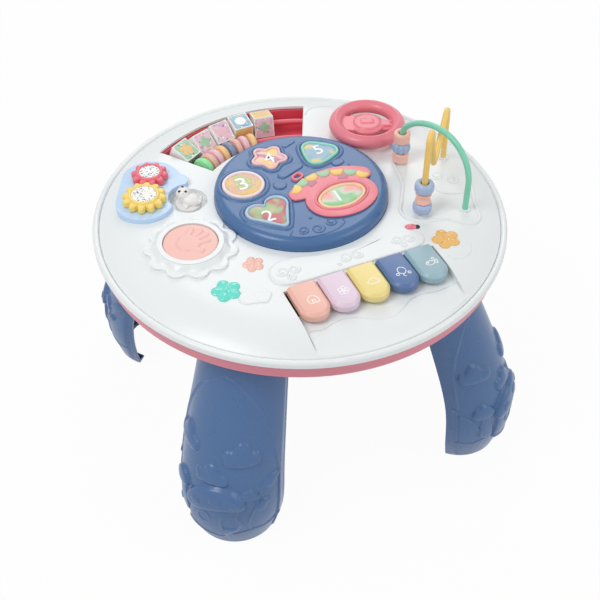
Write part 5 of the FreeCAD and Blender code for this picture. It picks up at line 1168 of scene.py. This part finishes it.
def key_picture(place, x, y):
    """Lines of a small generic picture: a house, a flower, a cloud, a balloon or a fish."""
    def move(points):
        return np.asarray(points, float) + np.array([x, y])
    if place == 0:
        return [move([(-4, -3), (-4, 2), (0, 5.4), (4, 2), (4, -3), (-4, -3)]),
                move([(-1, -3), (-1, 0), (1, 0), (1, -3)])]
    if place == 1:
        return [ring_line(x + 3 * math.cos(a), y + 3 * math.sin(a), 1.7) for a in np.arange(5) * 1.2566] + [
            ring_line(x, y, 1.1)]
    if place == 2:
        return [move([(-4.5, -2), (-5, 0), (-3, 1.6), (-1, 3.6), (2, 3.2), (3.2, 1.2), (5, 0),
                      (4.4, -2), (0, -2.6), (-4.5, -2)])]
    if place == 3:
        return [ring_line(x, y + 1.6, 3.4, 1.15), move([(0, -2.4), (-0.8, -4), (0.6, -5.6)]),
                ring_line(x + 5, y - 2.6, 1.2), ring_line(x - 5, y - 1.6, 1.2)]
    return [ring_line(x - 0.6, y, 3.8, 0.62), move([(3, 0), (5.4, 2.2), (5.2, -2.2), (3, 0)]),
            ring_line(x - 2.4, y + 0.6, 0.5), ring_line(x + 3.6, y + 4, 1.1)]


for place, (name, (finish, slot)) in enumerate(KEYS.items()):
    softened(name, 0.55, FINISH[finish])
    lines = key_picture(place, 9.3 + 26.2 * (place - 2) + 1.2, -118.5)
    piece(name + "_picture", *join_skins(*[draped_line(line, 0.75, 0.16,
                                                       key_height) for line in lines]), name,
          FINISH["ink_white"], "white_plastic", 60)
strip = np.array([(-59.4, -134.0), (-56.3, -134.0), (-56.3, -98.4), (-59.4, -98.4)])
piece("key_well_lip", *slab(strip, [(0, 222.5), (0, 228.0), (0.4, 228.6)]), "table",
      FINISH["white"], "white_plastic", 40)
print("keys", len(KEYS))

# %% [markdown]
# ## Steering wheel
#
# The wheel is one moulding: a fat round rim, a hub and two broad spokes that flow into each other.
# Modelling those blends by hand is slow. Instead simple closed forms are put into one mesh, a
# Remesh modifier melts them into one skin of small even faces, and a Smooth modifier rounds the
# inner corners.

# %% Wheel
WHEEL = np.array([99.3, 68.3])
WHEEL_TILT = -24.0


def melted(name, parts, voxel, rounds, body, finish, slot, replaces=()):
    """Closed forms melted into one skin: voxel size in millimetres, rounds of smoothing."""
    thing = piece(name, *join_skins(*parts), body, finish, slot, 180, replaces)
    remesh = thing.modifiers.new("melt", "REMESH")
    remesh.mode = "VOXEL"
    remesh.voxel_size = voxel * 0.001
    remesh.use_smooth_shade = True
    smooth = thing.modifiers.new("round", "SMOOTH")
    smooth.factor = 0.5
    smooth.iterations = rounds
    return thing


WHEEL_RIM = 29.3
RIM_STEPS = 160
angle = np.linspace(0, 2 * np.pi, RIM_STEPS, endpoint=False)


def rim_circle(height):
    """The middle line of the wheel's rim at a height: the wheel's middle plus a circle."""
    return np.stack([WHEEL[0] + WHEEL_RIM * np.cos(angle), WHEEL[1] + WHEEL_RIM * np.sin(angle),
                     np.full(RIM_STEPS, height)], axis=-1)


rim_path = rim_circle(243.9)
spoke_left = turned_by(np.array([(-27, -9.5), (-12, -12.4), (-12, 12.4), (-27, 9.5)]), WHEEL_TILT) + WHEEL
spoke_right = turned_by(np.array([(11, -8.5), (27, -7), (27, 7), (11, 8.5)]), WHEEL_TILT) + WHEEL
badge = turned_by(np.array([(-5.5, -3.2), (5.5, -3.2), (5.5, 3.2), (-5.5, 3.2)]), WHEEL_TILT) + WHEEL
grip_path = rim_circle(249.4)
rim_fluting = tube(grip_path, 1.5, (0, 0, 1), 16, True)
step_right = turned_by(np.array([(8, -4.5), (22, -4.5), (22, 4.5), (8, 4.5)]), WHEEL_TILT) + WHEEL
melted("wheel_moulded", [
    tube(rim_path, 6.2, (0, 0, 1), 40, True),
    lathe([(1, 240.6), (15.4, 240.6), (16, 241.4), (16, 244.2), (15, 245.2), (12.6, 245.6),
           (12.0, 246.6), (11, 247.0),
           (1, 247.0)], (WHEEL[0], WHEEL[1], 0), 96),
    slab(spoke_left, [(0, 240.8), (0, 245.4)]),
    slab(spoke_right, [(0, 240.8), (0, 243.4)]),
    slab(step_right, [(0, 242), (0, 245.8)]),
    slab(badge, [(0, 245), (0, 247.9)]),
    rim_fluting,
], 0.6, 4, "steering_wheel", FINISH["coral"], "coral_plastic", ["steering_wheel"])
piece("wheel_shaft", *lathe([(1, 220.0), (7.3, 220.0), (7.3, 221.8), (5, 221.9), (5, 234.3),
                             (7.4, 234.4), (7.4, 241.4),
                             (1, 241.4)], (WHEEL[0], WHEEL[1], 0), 64), "steering_wheel", FINISH["coral"],
      "coral_plastic", 40)
print("wheel at", WHEEL.tolist())

# %% [markdown]
# ## Gears on their base
#
# Two flower gears with round teeth run on pins on a pale blue base with a raised edge. The gears
# are the solids with large roundings. A printed disc lies in each hub.

# %% Gears
GEAR_TOP = 247.2
gear_places = {"gear_yellow": (-124.0, 50.5, 13.2, "yellow_plastic"),
               "gear_red": (-109.75, 78.7, 11.4, "coral_plastic")}


def knobbed(node, centre, inner, count_teeth, count=360):
    """Round knobs in place of teeth: r = low + (high - low) ((1 + cos(n t + phase)) / 2) ** 0.5."""
    points = np.unique(np.round(mesh_points(node)[:, :2] - centre, 3), axis=0)
    points = points[np.linalg.norm(points, axis=1) > inner]
    angle = np.degrees(np.arctan2(points[:, 1], points[:, 0]))
    order = np.argsort(angle)
    loop = points[order]
    closed = np.concatenate([loop, loop[:1]])
    step = np.concatenate([[0], np.cumsum(np.hypot(*np.diff(closed, axis=0).T))])
    fine = np.stack([np.interp(np.linspace(0, step[-1], 2400, endpoint=False), step, closed[:, axis])
                     for axis in (0, 1)], axis=-1)
    turn = np.degrees(np.arctan2(fine[:, 1], fine[:, 0])) % 360
    order = np.argsort(turn)
    even = np.linspace(0, 360, count, endpoint=False)
    reach = np.interp(even, turn[order], np.linalg.norm(fine, axis=1)[order], period=360)
    wave = np.exp(-1j * count_teeth * np.radians(even))
    phase = np.angle((reach - reach.mean()) @ wave)
    lobes = (0.5 + 0.5 * np.cos(count_teeth * np.radians(even) + phase)) ** 0.5
    low, high = np.percentile(reach, 4) - 0.1, reach.max() - 0.3
    return turn_points(even) * (low + (high - low) * lobes)[:, None] + centre


for name, (x, y, hub, slot) in gear_places.items():
    teeth = knobbed(name, np.array([x, y]), hub - 1.2, 12 if name == "gear_yellow" else 10)
    inner = blob([(0, 0, hub - 2.4)], 360) + np.array([x, y])
    low, high = 239.35, 245.9
    piece(name + "_knobbed", *pushed_slab(teeth, [(-0.9, low), (-0.1, low + 0.8), (0, low + 1.6),
                                                  (0, high - 1.8),
                                                  (-0.5, high - 0.8), (-1.5, high - 0.15), (-2.6, high)]),
          name, FINISH[name], slot, 60, [name])
    piece(name + "_ring", *pushed_band(inner, [(3.0, high - 0.6), (2.9, high + 0.4), (2.3, GEAR_TOP + 0.1),
                                               (1.5, GEAR_TOP + 0.45), (0.7, GEAR_TOP + 0.3),
                                               (0.1, GEAR_TOP - 0.3),
                                               (0, high - 0.6)]), name, FINISH[name], slot, 50)
    piece(name + "_print", *pushed_slab(inner, [(0.05, high - 0.3), (0.0, GEAR_TOP - 0.6),
                                                (-1, GEAR_TOP - 0.5)]),
          name, PRINTS["gear_disc"], "white_plastic", 40)
softened("gear_base", 0.8, FINISH["base"])
print("gears", len(gear_places))

# %% [markdown]
# ## The seal pup
#
# A small animal sits on a turntable in a round well: a round head with two eyes and a nose, a
# body, flippers and a tail. Ellipsoids melted together give the soft, worn form of such a figure.

# %% Seal
def ellipsoid(centre, radii, turn=0, tilt=0, count=40):
    """A closed ellipsoid: latitude rings of x = a cos t cos p, y = b cos t sin p, z = c sin t."""
    t = np.linspace(-np.pi / 2, np.pi / 2, count // 2)[:, None]
    p = np.linspace(0, 2 * np.pi, count, endpoint=False)[None]
    local = np.stack([radii[0] * np.cos(t) * np.cos(p), radii[1] * np.cos(t) * np.sin(p),
                      radii[2] * np.sin(t) * np.ones_like(p)], axis=-1)
    c, s = math.cos(math.radians(tilt)), math.sin(math.radians(tilt))
    local = np.stack([local[..., 0] * c - local[..., 2] * s, local[..., 1],
                      local[..., 0] * s + local[..., 2] * c], -1)
    local[..., :2] = turned_by(local[..., :2].reshape(-1, 2), turn).reshape(local.shape[:-1] + (2,))
    points, faces = skin(local + np.asarray(centre, float))
    return points, faces


SEAL = np.array([-87.6, 41.6])
SEAL_TURN = -34
seal_way = turn_points(np.array([SEAL_TURN]))[0]
seal_side = np.array([-seal_way[1], seal_way[0]])


def by_seal(along, across, z):
    """A place in the seal's own directions: along its body, across it, and a height."""
    flat = SEAL + seal_way * along + seal_side * across
    return (flat[0], flat[1], z)


HEAD = (-90.2, 45.6, 239.4)
melted("seal_pup", [
    ellipsoid(by_seal(2.4, -0.4, 235.4), (9.0, 7.0, 5.6), SEAL_TURN, -6),
    ellipsoid(HEAD, (6.7, 6.7, 6.2), 0),
    ellipsoid((-92.8, 44.4, 242.0), (3.0, 3.0, 2.6), 0),
    ellipsoid(by_seal(9.4, 0.6, 235.0), (3.6, 2.8, 2.4), 0, 14),
    ellipsoid(by_seal(10.6, 2.6, 236.4), (2.2, 1.6, 1.7), 30, 10),
    ellipsoid(by_seal(10.8, -1.6, 236.0), (2.2, 1.6, 1.7), -70, 10),
    ellipsoid(by_seal(-1.0, -7.4, 233.2), (3.6, 2.0, 1.7), -80),
    ellipsoid(by_seal(1.0, 7.0, 233.4), (3.4, 1.8, 1.6), 10),
], 0.42, 4, "seal_turner", FINISH["seal"], "seal_grey", ["seal_turner"])
piece("seal_plate", *lathe([(1, 225.5), (5.8, 225.5), (5.8, 227.1), (4.0, 227.2), (4.0, 230.2),
                            (11.2, 230.3),
                            (11.5, 230.7), (11.5, 231.9), (11, 232.5), (1, 232.5)],
                            (SEAL[0], SEAL[1], 0), 72),
      "seal_turner", FINISH["seal"], "seal_grey", 40)
face_marks = [ellipsoid(place, radii, 0, 0, 20) for place, radii in (
    ((-94.2, 44.2, 244.4), (1.3, 1.2, 0.9)), ((-89.3, 41.5, 244.7), (1.1, 1.1, 0.9)),
    ((-89.9, 47.7, 245.4), (1.1, 1.1, 0.9)),
    ((-93.0, 41.6, 243.0), (0.5, 0.5, 0.4)), ((-91.8, 41.0, 243.2), (0.5, 0.5, 0.4)))]
piece("seal_face", *join_skins(*face_marks), "seal_turner", FINISH["black"], "dark_plastic", 60)
print("seal at", SEAL.tolist())

# %% [markdown]
# ## Hand drum
#
# A large push button with a raised hand, in a white ring with a sunflower round it. Both are
# height fields again, this time on a grid of radius and angle: the hand is a palm and five
# fingers, and the flower is a wave that grows towards its edge.

# %% Drum button and sunflower
DRUM = np.array([-106.5, -17.5])


def hand_height(x, y):
    """A palm and five fingers as one raised field with a soft edge."""
    palm = blob([(0, -4, 7.2), (-2, -1, 6.6), (2.4, -1, 6.4)], 90, 4)
    form = plateau(x, y, palm, 0.8, 1.6, 0.3)
    for start, end, width in (((-5, 1), (-8.6, 9.5), 2.1), ((-1.8, 3), (-2.9, 13), 2.2),
                              ((1.8, 3), (3.0, 12.6), 2.2),
                              ((4.8, 1), (8.4, 9.2), 2.0), ((6, -5), (12.6, -1.6), 2.2)):
        finger = capsule(start, end, width, 60)
        form = np.maximum(form, plateau(x, y, finger, 0.8, 1.4, 0.2))
    return form


radius_steps = np.concatenate([np.linspace(0.15, 21.6, 84),
                               23 - 1.4 * np.cos(np.linspace(0, np.pi / 2, 7))[1:]])
turn_steps = np.linspace(0, 360, 200, endpoint=False)
disc_x = radius_steps[:, None] * np.cos(np.radians(turn_steps))[None]
disc_y = radius_steps[:, None] * np.sin(np.radians(turn_steps))[None]
crown = 241.6 - 0.9 * (radius_steps / 23) ** 2
crown = crown - 1.3 * (1 - np.sqrt(np.clip(1 - (np.clip(radius_steps - 21.6, 0, 1.4) / 1.4) ** 2, 0, 1)))
hand_turn = turned_by(np.stack([disc_x, disc_y], -1).reshape(-1, 2) / 1.15, 64).reshape(disc_x.shape + (2,))
disc_z = crown[:, None] + hand_height(hand_turn[..., 0], hand_turn[..., 1]) * 1.2 - 0.7
drum_top = np.stack([DRUM[0] + disc_x, DRUM[1] + disc_y, disc_z], axis=-1)
drum_side = drum_top[-1:].copy()
drum_side[..., 2] = 229.2
drum_points, drum_faces = skin(np.concatenate([drum_side, drum_top[::-1]]))
piece("drum_moulded", drum_points, drum_faces, "drum_button", FINISH["drum"], "peach_plastic", 50,
      ["drum_button"])

share = np.linspace(0, 1, 40)[:, None]
turn_steps = np.linspace(0, 360, 330, endpoint=False)[None]
wave = np.cos(np.radians(11 * turn_steps))
outer_edge = 37.4 + 2.3 * wave
sun_radius = 27.2 + (outer_edge - 27.2) * share
fall = 240.1 - 3.0 * ramp(share, 0, 0.55) - 0.5 * share
groove = 0.55 * (1 - wave) / 2 * ramp(share, 0.1, 0.7)
edge = np.clip((share - 0.86) / 0.14, 0, 1)
sun_z = fall - groove - 2.4 * (1 - np.sqrt(np.clip(1 - edge ** 2, 0, 1)))
sun = np.stack([DRUM[0] + sun_radius * np.cos(np.radians(turn_steps)),
                DRUM[1] + sun_radius * np.sin(np.radians(turn_steps)),
                sun_z], axis=-1)
skirt = sun[-1:].copy()
skirt[..., 2] = 233.4
inner_skirt = sun[:1].copy()
inner_skirt[..., 2] = 233.4
sun_points, sun_faces = skin(np.concatenate([skirt, sun[::-1], inner_skirt]), wrap=True)
piece("sunflower_surround", sun_points, sun_faces, "table", FINISH["white"], "white_plastic", 55)
print("drum grid", disc_x.shape, "sunflower", sun.shape)

# %% [markdown]
# ## Blocks and rings in the tray
#
# Five picture blocks turn on the outer rod and eight rings slide on the inner one. A block is a
# cube with rounded edges and four printed tiles with a small motif. Each tile is made flat and
# then turned with its block.

# %% Blocks
BLOCK_FIRST, BLOCK_STEP = 121, 9.75
BLOCK_ARC, BLOCK_HEIGHT = 130.6, 228.1
BLOCK_TURNS = [24, 45, 36, 8, -16]
TILE_COLOURS = [
    ("tile_mint", "tile_pink", "tile_yellow", "tile_blue"),
    ("tile_pink", "tile_mint", "tile_blue", "tile_yellow"),
    ("tile_pink", "tile_mint", "tile_yellow", "tile_blue"),
    ("tile_blue", "tile_mint", "tile_pink", "tile_yellow"),
    ("tile_yellow", "tile_blue", "tile_mint", "tile_pink"),
]
MOTIFS = [
    ("ring_orange", blob([(0, 0, 3)] + [(3.6 * math.cos(a), 3.6 * math.sin(a), 2)
                                        for a in np.arange(5) * 1.2566])),
    ("ink_white", blob([(0, 0, 4.4)])),
    ("ring_pink", blob([(-2.2, 0.6, 2.8), (2.2, 0.6, 2.8), (0, -1.6, 2.6), (0, 1.6, 2.4)])),
    ("awning_mint", blob([(0, 0, 2.6), (0, 3.2, 1.8), (0, -3.2, 1.8), (2.2, 0, 2.4), (-2.2, 0, 2.4)])),
]


def block_frame(place):
    """Middle and three axes of a block: along the rod, and two across it, turned by its tilt."""
    azimuth = BLOCK_FIRST - BLOCK_STEP * place
    spin, tilt = math.radians(azimuth - 90), math.radians(BLOCK_TURNS[place])
    along = np.array([math.cos(spin), math.sin(spin), 0])
    out = np.array([-math.sin(spin), math.cos(spin), 0])
    up = np.array([0, 0, 1.0])
    second = out * math.cos(tilt) + up * math.sin(tilt)
    third = -out * math.sin(tilt) + up * math.cos(tilt)
    middle = np.array([BLOCK_ARC * math.cos(math.radians(azimuth)),
                       BLOCK_ARC * math.sin(math.radians(azimuth)), BLOCK_HEIGHT])
    return middle, along, second, third


def onto_face(flat_skin, middle, first, second, normal):
    """A flat skin (x, y, z) laid on a face: x along first, y along second, z along the normal."""
    points, faces = flat_skin
    return middle + points[:, :1] * first + points[:, 1:2] * second + points[:, 2:] * normal, faces


TILE = smooth_line([(-7.9, -8.5), (0, -8.7), (7.9, -8.5), (8.1, 0), (7.9, 8.5), (0, 8.7), (-7.9, 8.5),
                    (-8.1, 0)], 5, True)
for place in range(5):
    name = "block_%d" % (place + 1)
    softened(name, 0.7, FINISH["block_body"], 4)
    middle, along, second, third = block_frame(place)
    for side in range(4):
        normal = (third, second, -third, -second)[side]
        across = np.cross(normal, along)
        tile = slab(TILE, [(0, 9.8), (0.05, 10.05), (0.3, 10.12)])
        piece("%s_tile_%d" % (name, side), *onto_face(tile, middle, along, across, normal), name,
              PRINTS[TILE_COLOURS[place][side]], "white_plastic", 40)
        colour, motif = MOTIFS[(place * 3 + side) % 4]
        motif_slab = slab(motif * 1.2, [(0, 10.0), (0.05, 10.18), (0.3, 10.24)])
        piece("%s_motif_%d" % (name, side), *onto_face(motif_slab, middle, along, across, normal), name,
              FINISH[colour], "white_plastic", 40)
print("blocks 5, tiles 20")

# %% Rings
RING_COLOURS = ["ring_green", "ring_peach", "ring_pink", "ring_orange", "ring_grey", "ring_peach",
                "ring_pink",
                "ring_orange"]
RING_SLOTS = {"ring_green": "green_plastic", "ring_peach": "peach_plastic", "ring_pink": "rose_plastic",
              "ring_orange": "cream_plastic", "ring_grey": "blue_plastic"}
RING_PROFILE = [(5.2, -3.2), (8.0, -3.2), (8.6, -2.7), (9.8, -2.9), (10.8, -2.4), (11.4, -1.4),
                (11.6, 0), (11.4, 1.4),
                (10.8, 2.4), (9.8, 2.9), (8.6, 2.7), (8.0, 3.2), (5.2, 3.2), (4.8, 2.7), (4.8, -2.7)]
for place, colour in enumerate(RING_COLOURS):
    azimuth = math.radians(122.6 - 4.45 * place)
    out = np.array([math.cos(azimuth), math.sin(azimuth), 0])
    along = np.array([-math.sin(azimuth), math.cos(azimuth), 0])
    centre = out * 104.2 + np.array([0, 0, 225.85])
    points, faces = lathe(RING_PROFILE, count=96, wrap=True)
    placed = centre + points[:, :1] * np.array([0, 0, 1.0]) + points[:, 1:2] * out + points[:, 2:] * along
    if np.dot(np.cross(np.array([0, 0, 1.0]), out), along) < 0:
        faces = [face[::-1] for face in faces]
    name = "ring_%d" % (place + 1)
    piece(name + "_turned", placed, faces, name, FINISH[colour], RING_SLOTS[colour], 40, [name])
print("rings", len(RING_COLOURS))

# %% [markdown]
# ## Bead wires
#
# Two bent wires in plastic sleeves: a green arch and a yellow M. Their paths are straight runs and
# arcs, so a round section carried along the path gives the sleeve. Three beads sit on the foot of
# each.

# %% Paths and sleeves
def bent_path(corners, bend, step=1.2):
    """Points along straight runs with a round arc at each inner corner, tangent to both runs."""
    corners = np.asarray(corners, float)
    path = [corners[0]]
    for before, corner, after in zip(corners[:-2], corners[1:-1], corners[2:]):
        back = (before - corner) / np.linalg.norm(before - corner)
        ahead = (after - corner) / np.linalg.norm(after - corner)
        half = math.acos(np.clip(back @ ahead, -1, 1)) / 2
        reach = bend / math.tan(half)
        bisector = (back + ahead) / np.linalg.norm(back + ahead)
        middle = corner + bisector * bend / math.sin(half)
        start = corner + back * reach - middle
        sweep = np.pi - 2 * half
        side = np.cross(np.cross(start, back), start)
        side = -side / np.linalg.norm(side) * bend
        turn = np.linspace(0, sweep, 15)[:, None]
        path += list(middle + start * np.cos(turn) + side * np.sin(turn))
    path.append(corners[-1])
    path = np.array(path)
    run = np.concatenate([[0], np.cumsum(np.linalg.norm(np.diff(path, axis=0), axis=1))])
    where = np.linspace(0, run[-1], int(run[-1] / step))
    return np.stack([np.interp(where, run, path[:, axis]) for axis in range(3)], axis=-1)


def along_span(origin, direction, profile):
    """Places (s, z) in an upright plane through an origin as (x, y, z)."""
    profile = np.asarray(profile, float)
    way = turn_points(np.array([direction]))[0]
    return np.column_stack([origin[0] + profile[:, 0] * way[0], origin[1] + profile[:, 0] * way[1],
                            profile[:, 1]])


YELLOW_FOOT, YELLOW_WAY = np.array([88.5, -57.0]), 47.4
yellow_profile = [(0, 227), (2, 329), (35, 260), (78, 296), (85, 227)]
yellow_path = bent_path(along_span(YELLOW_FOOT, YELLOW_WAY, yellow_profile), 5.2)
yellow_side = np.append(turn_points(np.array([YELLOW_WAY + 90]))[0], 0)
piece("yellow_sleeve", *tube(yellow_path, 2.6, yellow_side, 28), "table", FINISH["wire_yellow"],
      "wire_yellow", 60,
      ["yellow_wire"])

GREEN_FOOT, GREEN_WAY = np.array([106.5, 15.5]), -77.2
crest, small, rise = 50.5, 18.0, 32.0
large = (crest * crest + rise * rise - 2 * crest * small) / (2 * (rise - small))
small_mid = np.array([small, 263.0])
large_mid = np.array([crest, 295.0 - large])
join = np.arctan2(*(small_mid - large_mid)[::-1])
first_arc = np.linspace(np.pi, join, 26)[:, None]
second_arc = np.linspace(join, np.pi / 2, 26)[:, None]
third_arc = np.linspace(np.pi / 2, 0, 40)[:, None]
far = 85 - crest


def arc_points(middle, radius, turn):
    """Points middle + radius (cos t, sin t) in the plane of the arch."""
    return middle + radius * np.concatenate([np.cos(turn), np.sin(turn)], axis=1)


green_profile = np.concatenate([
    [(0, z) for z in np.linspace(227, 262, 12)],
    arc_points(small_mid, small, first_arc), arc_points(large_mid, large, second_arc)[1:],
    arc_points(np.array([crest, 295 - far]), far, third_arc)[1:],
    [(85, z) for z in np.linspace(295 - far - 2, 227, 14)],
])
green_side = np.append(turn_points(np.array([GREEN_WAY + 90]))[0], 0)
piece("green_sleeve", *tube(along_span(GREEN_FOOT, GREEN_WAY, green_profile), 2.6, green_side, 28), "table",
      FINISH["wire_green"], "wire_green", 60, ["green_wire"])
print("yellow path", len(yellow_path), "green path", len(green_profile))

# %% Beads
BARREL = [(3.4, 0.7), (3.9, 0.15), (6.0, 0), (6.9, 0.4), (7.3, 1.3), (7.4, 3), (7.2, 5), (7.4, 7),
          (7.3, 8.7), (6.9, 9.6),
          (6.0, 10), (3.9, 9.85), (3.4, 9.3)]
DOUGHNUT = [(3.4, 1.2), (4.2, 0.3), (6.0, 0.0), (7.4, 0.9), (8.2, 2.6), (8.4, 5), (8.2, 7.4),
            (7.4, 9.1), (6.0, 10),
            (4.2, 9.7), (3.4, 8.8)]
SPOOL = [(3.4, 0.7), (3.9, 0.15), (5.8, 0), (6.8, 0.5), (7.0, 1.6), (6.2, 3), (5.9, 5), (6.2, 7),
         (7.0, 8.4), (6.8, 9.5),
         (5.8, 10), (3.9, 9.85), (3.4, 9.3)]
lean = math.atan2(2, 102)
lean_way = turn_points(np.array([YELLOW_WAY]))[0]
post = np.array([lean_way[0] * math.sin(lean), lean_way[1] * math.sin(lean), math.cos(lean)])
post_first = np.array([lean_way[0] * math.cos(lean), lean_way[1] * math.cos(lean), -math.sin(lean)])
post_second = np.cross(post, post_first)


def bead(name, profile, base, first, second, axis, finish, slot, flutes=0):
    """A turned bead on an axis: x along first, y along second, z along the axis."""
    points, faces = lathe(profile, count=110, wrap=True, flutes=flutes, flute_deep=1.6)
    placed = base + points[:, :1] * first + points[:, 1:2] * second + points[:, 2:] * axis
    piece(name + "_turned", placed, faces, name, finish, slot, 45, [name])


for place, level in enumerate(("low", "mid", "top")):
    rise = 1.9 + 10.3 * place
    base = np.array([GREEN_FOOT[0], GREEN_FOOT[1], 234 + rise])
    blue = place == 1
    bead("green_bead_" + level, DOUGHNUT if blue else BARREL, base, np.array([1.0, 0, 0]),
         np.array([0, 1.0, 0]),
         np.array([0, 0, 1.0]), FINISH["bead_blue" if blue else "bead_peach"],
         "blue_plastic" if blue else "peach_plastic", 9 if blue else 0)
    along = rise + 1
    base = np.append(YELLOW_FOOT + lean_way * (along + 7) * math.sin(lean), 234 + along * math.cos(lean))
    bead("yellow_bead_" + level, SPOOL if blue else DOUGHNUT, base, post_first, post_second, post,
         FINISH["bead_peach" if blue else "bead_blue"], "peach_plastic" if blue else "blue_plastic")
print("beads 6")

# %% [markdown]
# ## Flower windows
#
# Light from the lamps inside shows through clear tinted flowers. Each is a dome over a five-petal
# outline, with a ring of small bumps at its middle.

# %% Flowers and ladybird
def flower(x, y, reach, petal, count, turn, high, name, finish, slot):
    """A domed flower: petals fall to their edges, and the middle carries a button of bumps."""
    angles = np.radians(turn + np.arange(count) * 360 / count)
    outline = blob([(0, 0, reach)] + [(reach * math.cos(a), reach * math.sin(a),
                                       petal) for a in angles], 200, 3)
    spread = np.linspace(1, 0.03, 34)[:, None, None]
    flat = outline[None] * spread
    angle = np.arctan2(flat[..., 1], flat[..., 0])
    radius = np.hypot(flat[..., 0], flat[..., 1])
    share = np.broadcast_to(spread[..., 0], radius.shape)
    lobes = (1 + np.cos(count * (angle - math.radians(turn)))) / 2
    z = high * np.sqrt(np.clip(1 - share ** 6, 0, 1)) * (0.55 + 0.45 * lobes * ramp(share, 0.1, 0.6))
    z = z + 0.7 * high * np.exp(-(radius / (reach * 0.42)) ** 2)
    bumps = np.cos(6 * angle) * np.exp(-((radius - reach * 0.42) / (reach * 0.14)) ** 2)
    z = z + 0.16 * high * bumps
    spot = np.array([x, y])
    world_flat = flat + spot
    on_deck = deck_height(world_flat[..., 0], world_flat[..., 1]) + z
    rings = np.concatenate([world_flat, on_deck[..., None]], axis=-1)
    foot = rings[:1].copy()
    foot[..., 2] = 233.2
    piece(name + "_window", *skin(np.concatenate([foot, rings])), "table", finish, slot, 60, [name])


for name in ("teal", "peach_light", "orange", "red_light"):
    shader = FINISH[name].node_tree.nodes["Principled BSDF"]
    shader.inputs["Coat Weight"].default_value = 0.6
    shader.inputs["Coat Roughness"].default_value = 0.08
flower(-98.4, -77.5, 7.2, 5.3, 5, 18, 2.5, "teal_flower", FINISH["teal"], "teal_plastic")
flower(-67.2, -57.5, 5.2, 3.8, 5, 18, 2.3, "peach_flower", FINISH["peach_light"], "peach_plastic")
flower(91, -94.4, 7.0, 5.1, 5, 18, 2.5, "orange_flower", FINISH["orange"], "yellow_plastic")
red_body = ellipsoid((71.9, -68.9, 233.9), (5.4, 3.3, 2.6), -24, 0, 36)
piece("ladybird_body", *red_body, "table", FINISH["red_light"], "coral_plastic", 60, ["ladybird"])
piece("ladybird_head", *ellipsoid((76.6, -71.0, 233.9), (2.5, 2.5, 1.9), -24, 0, 28), "table",
      FINISH["black"],
      "dark_plastic", 60)
print("flowers 3")
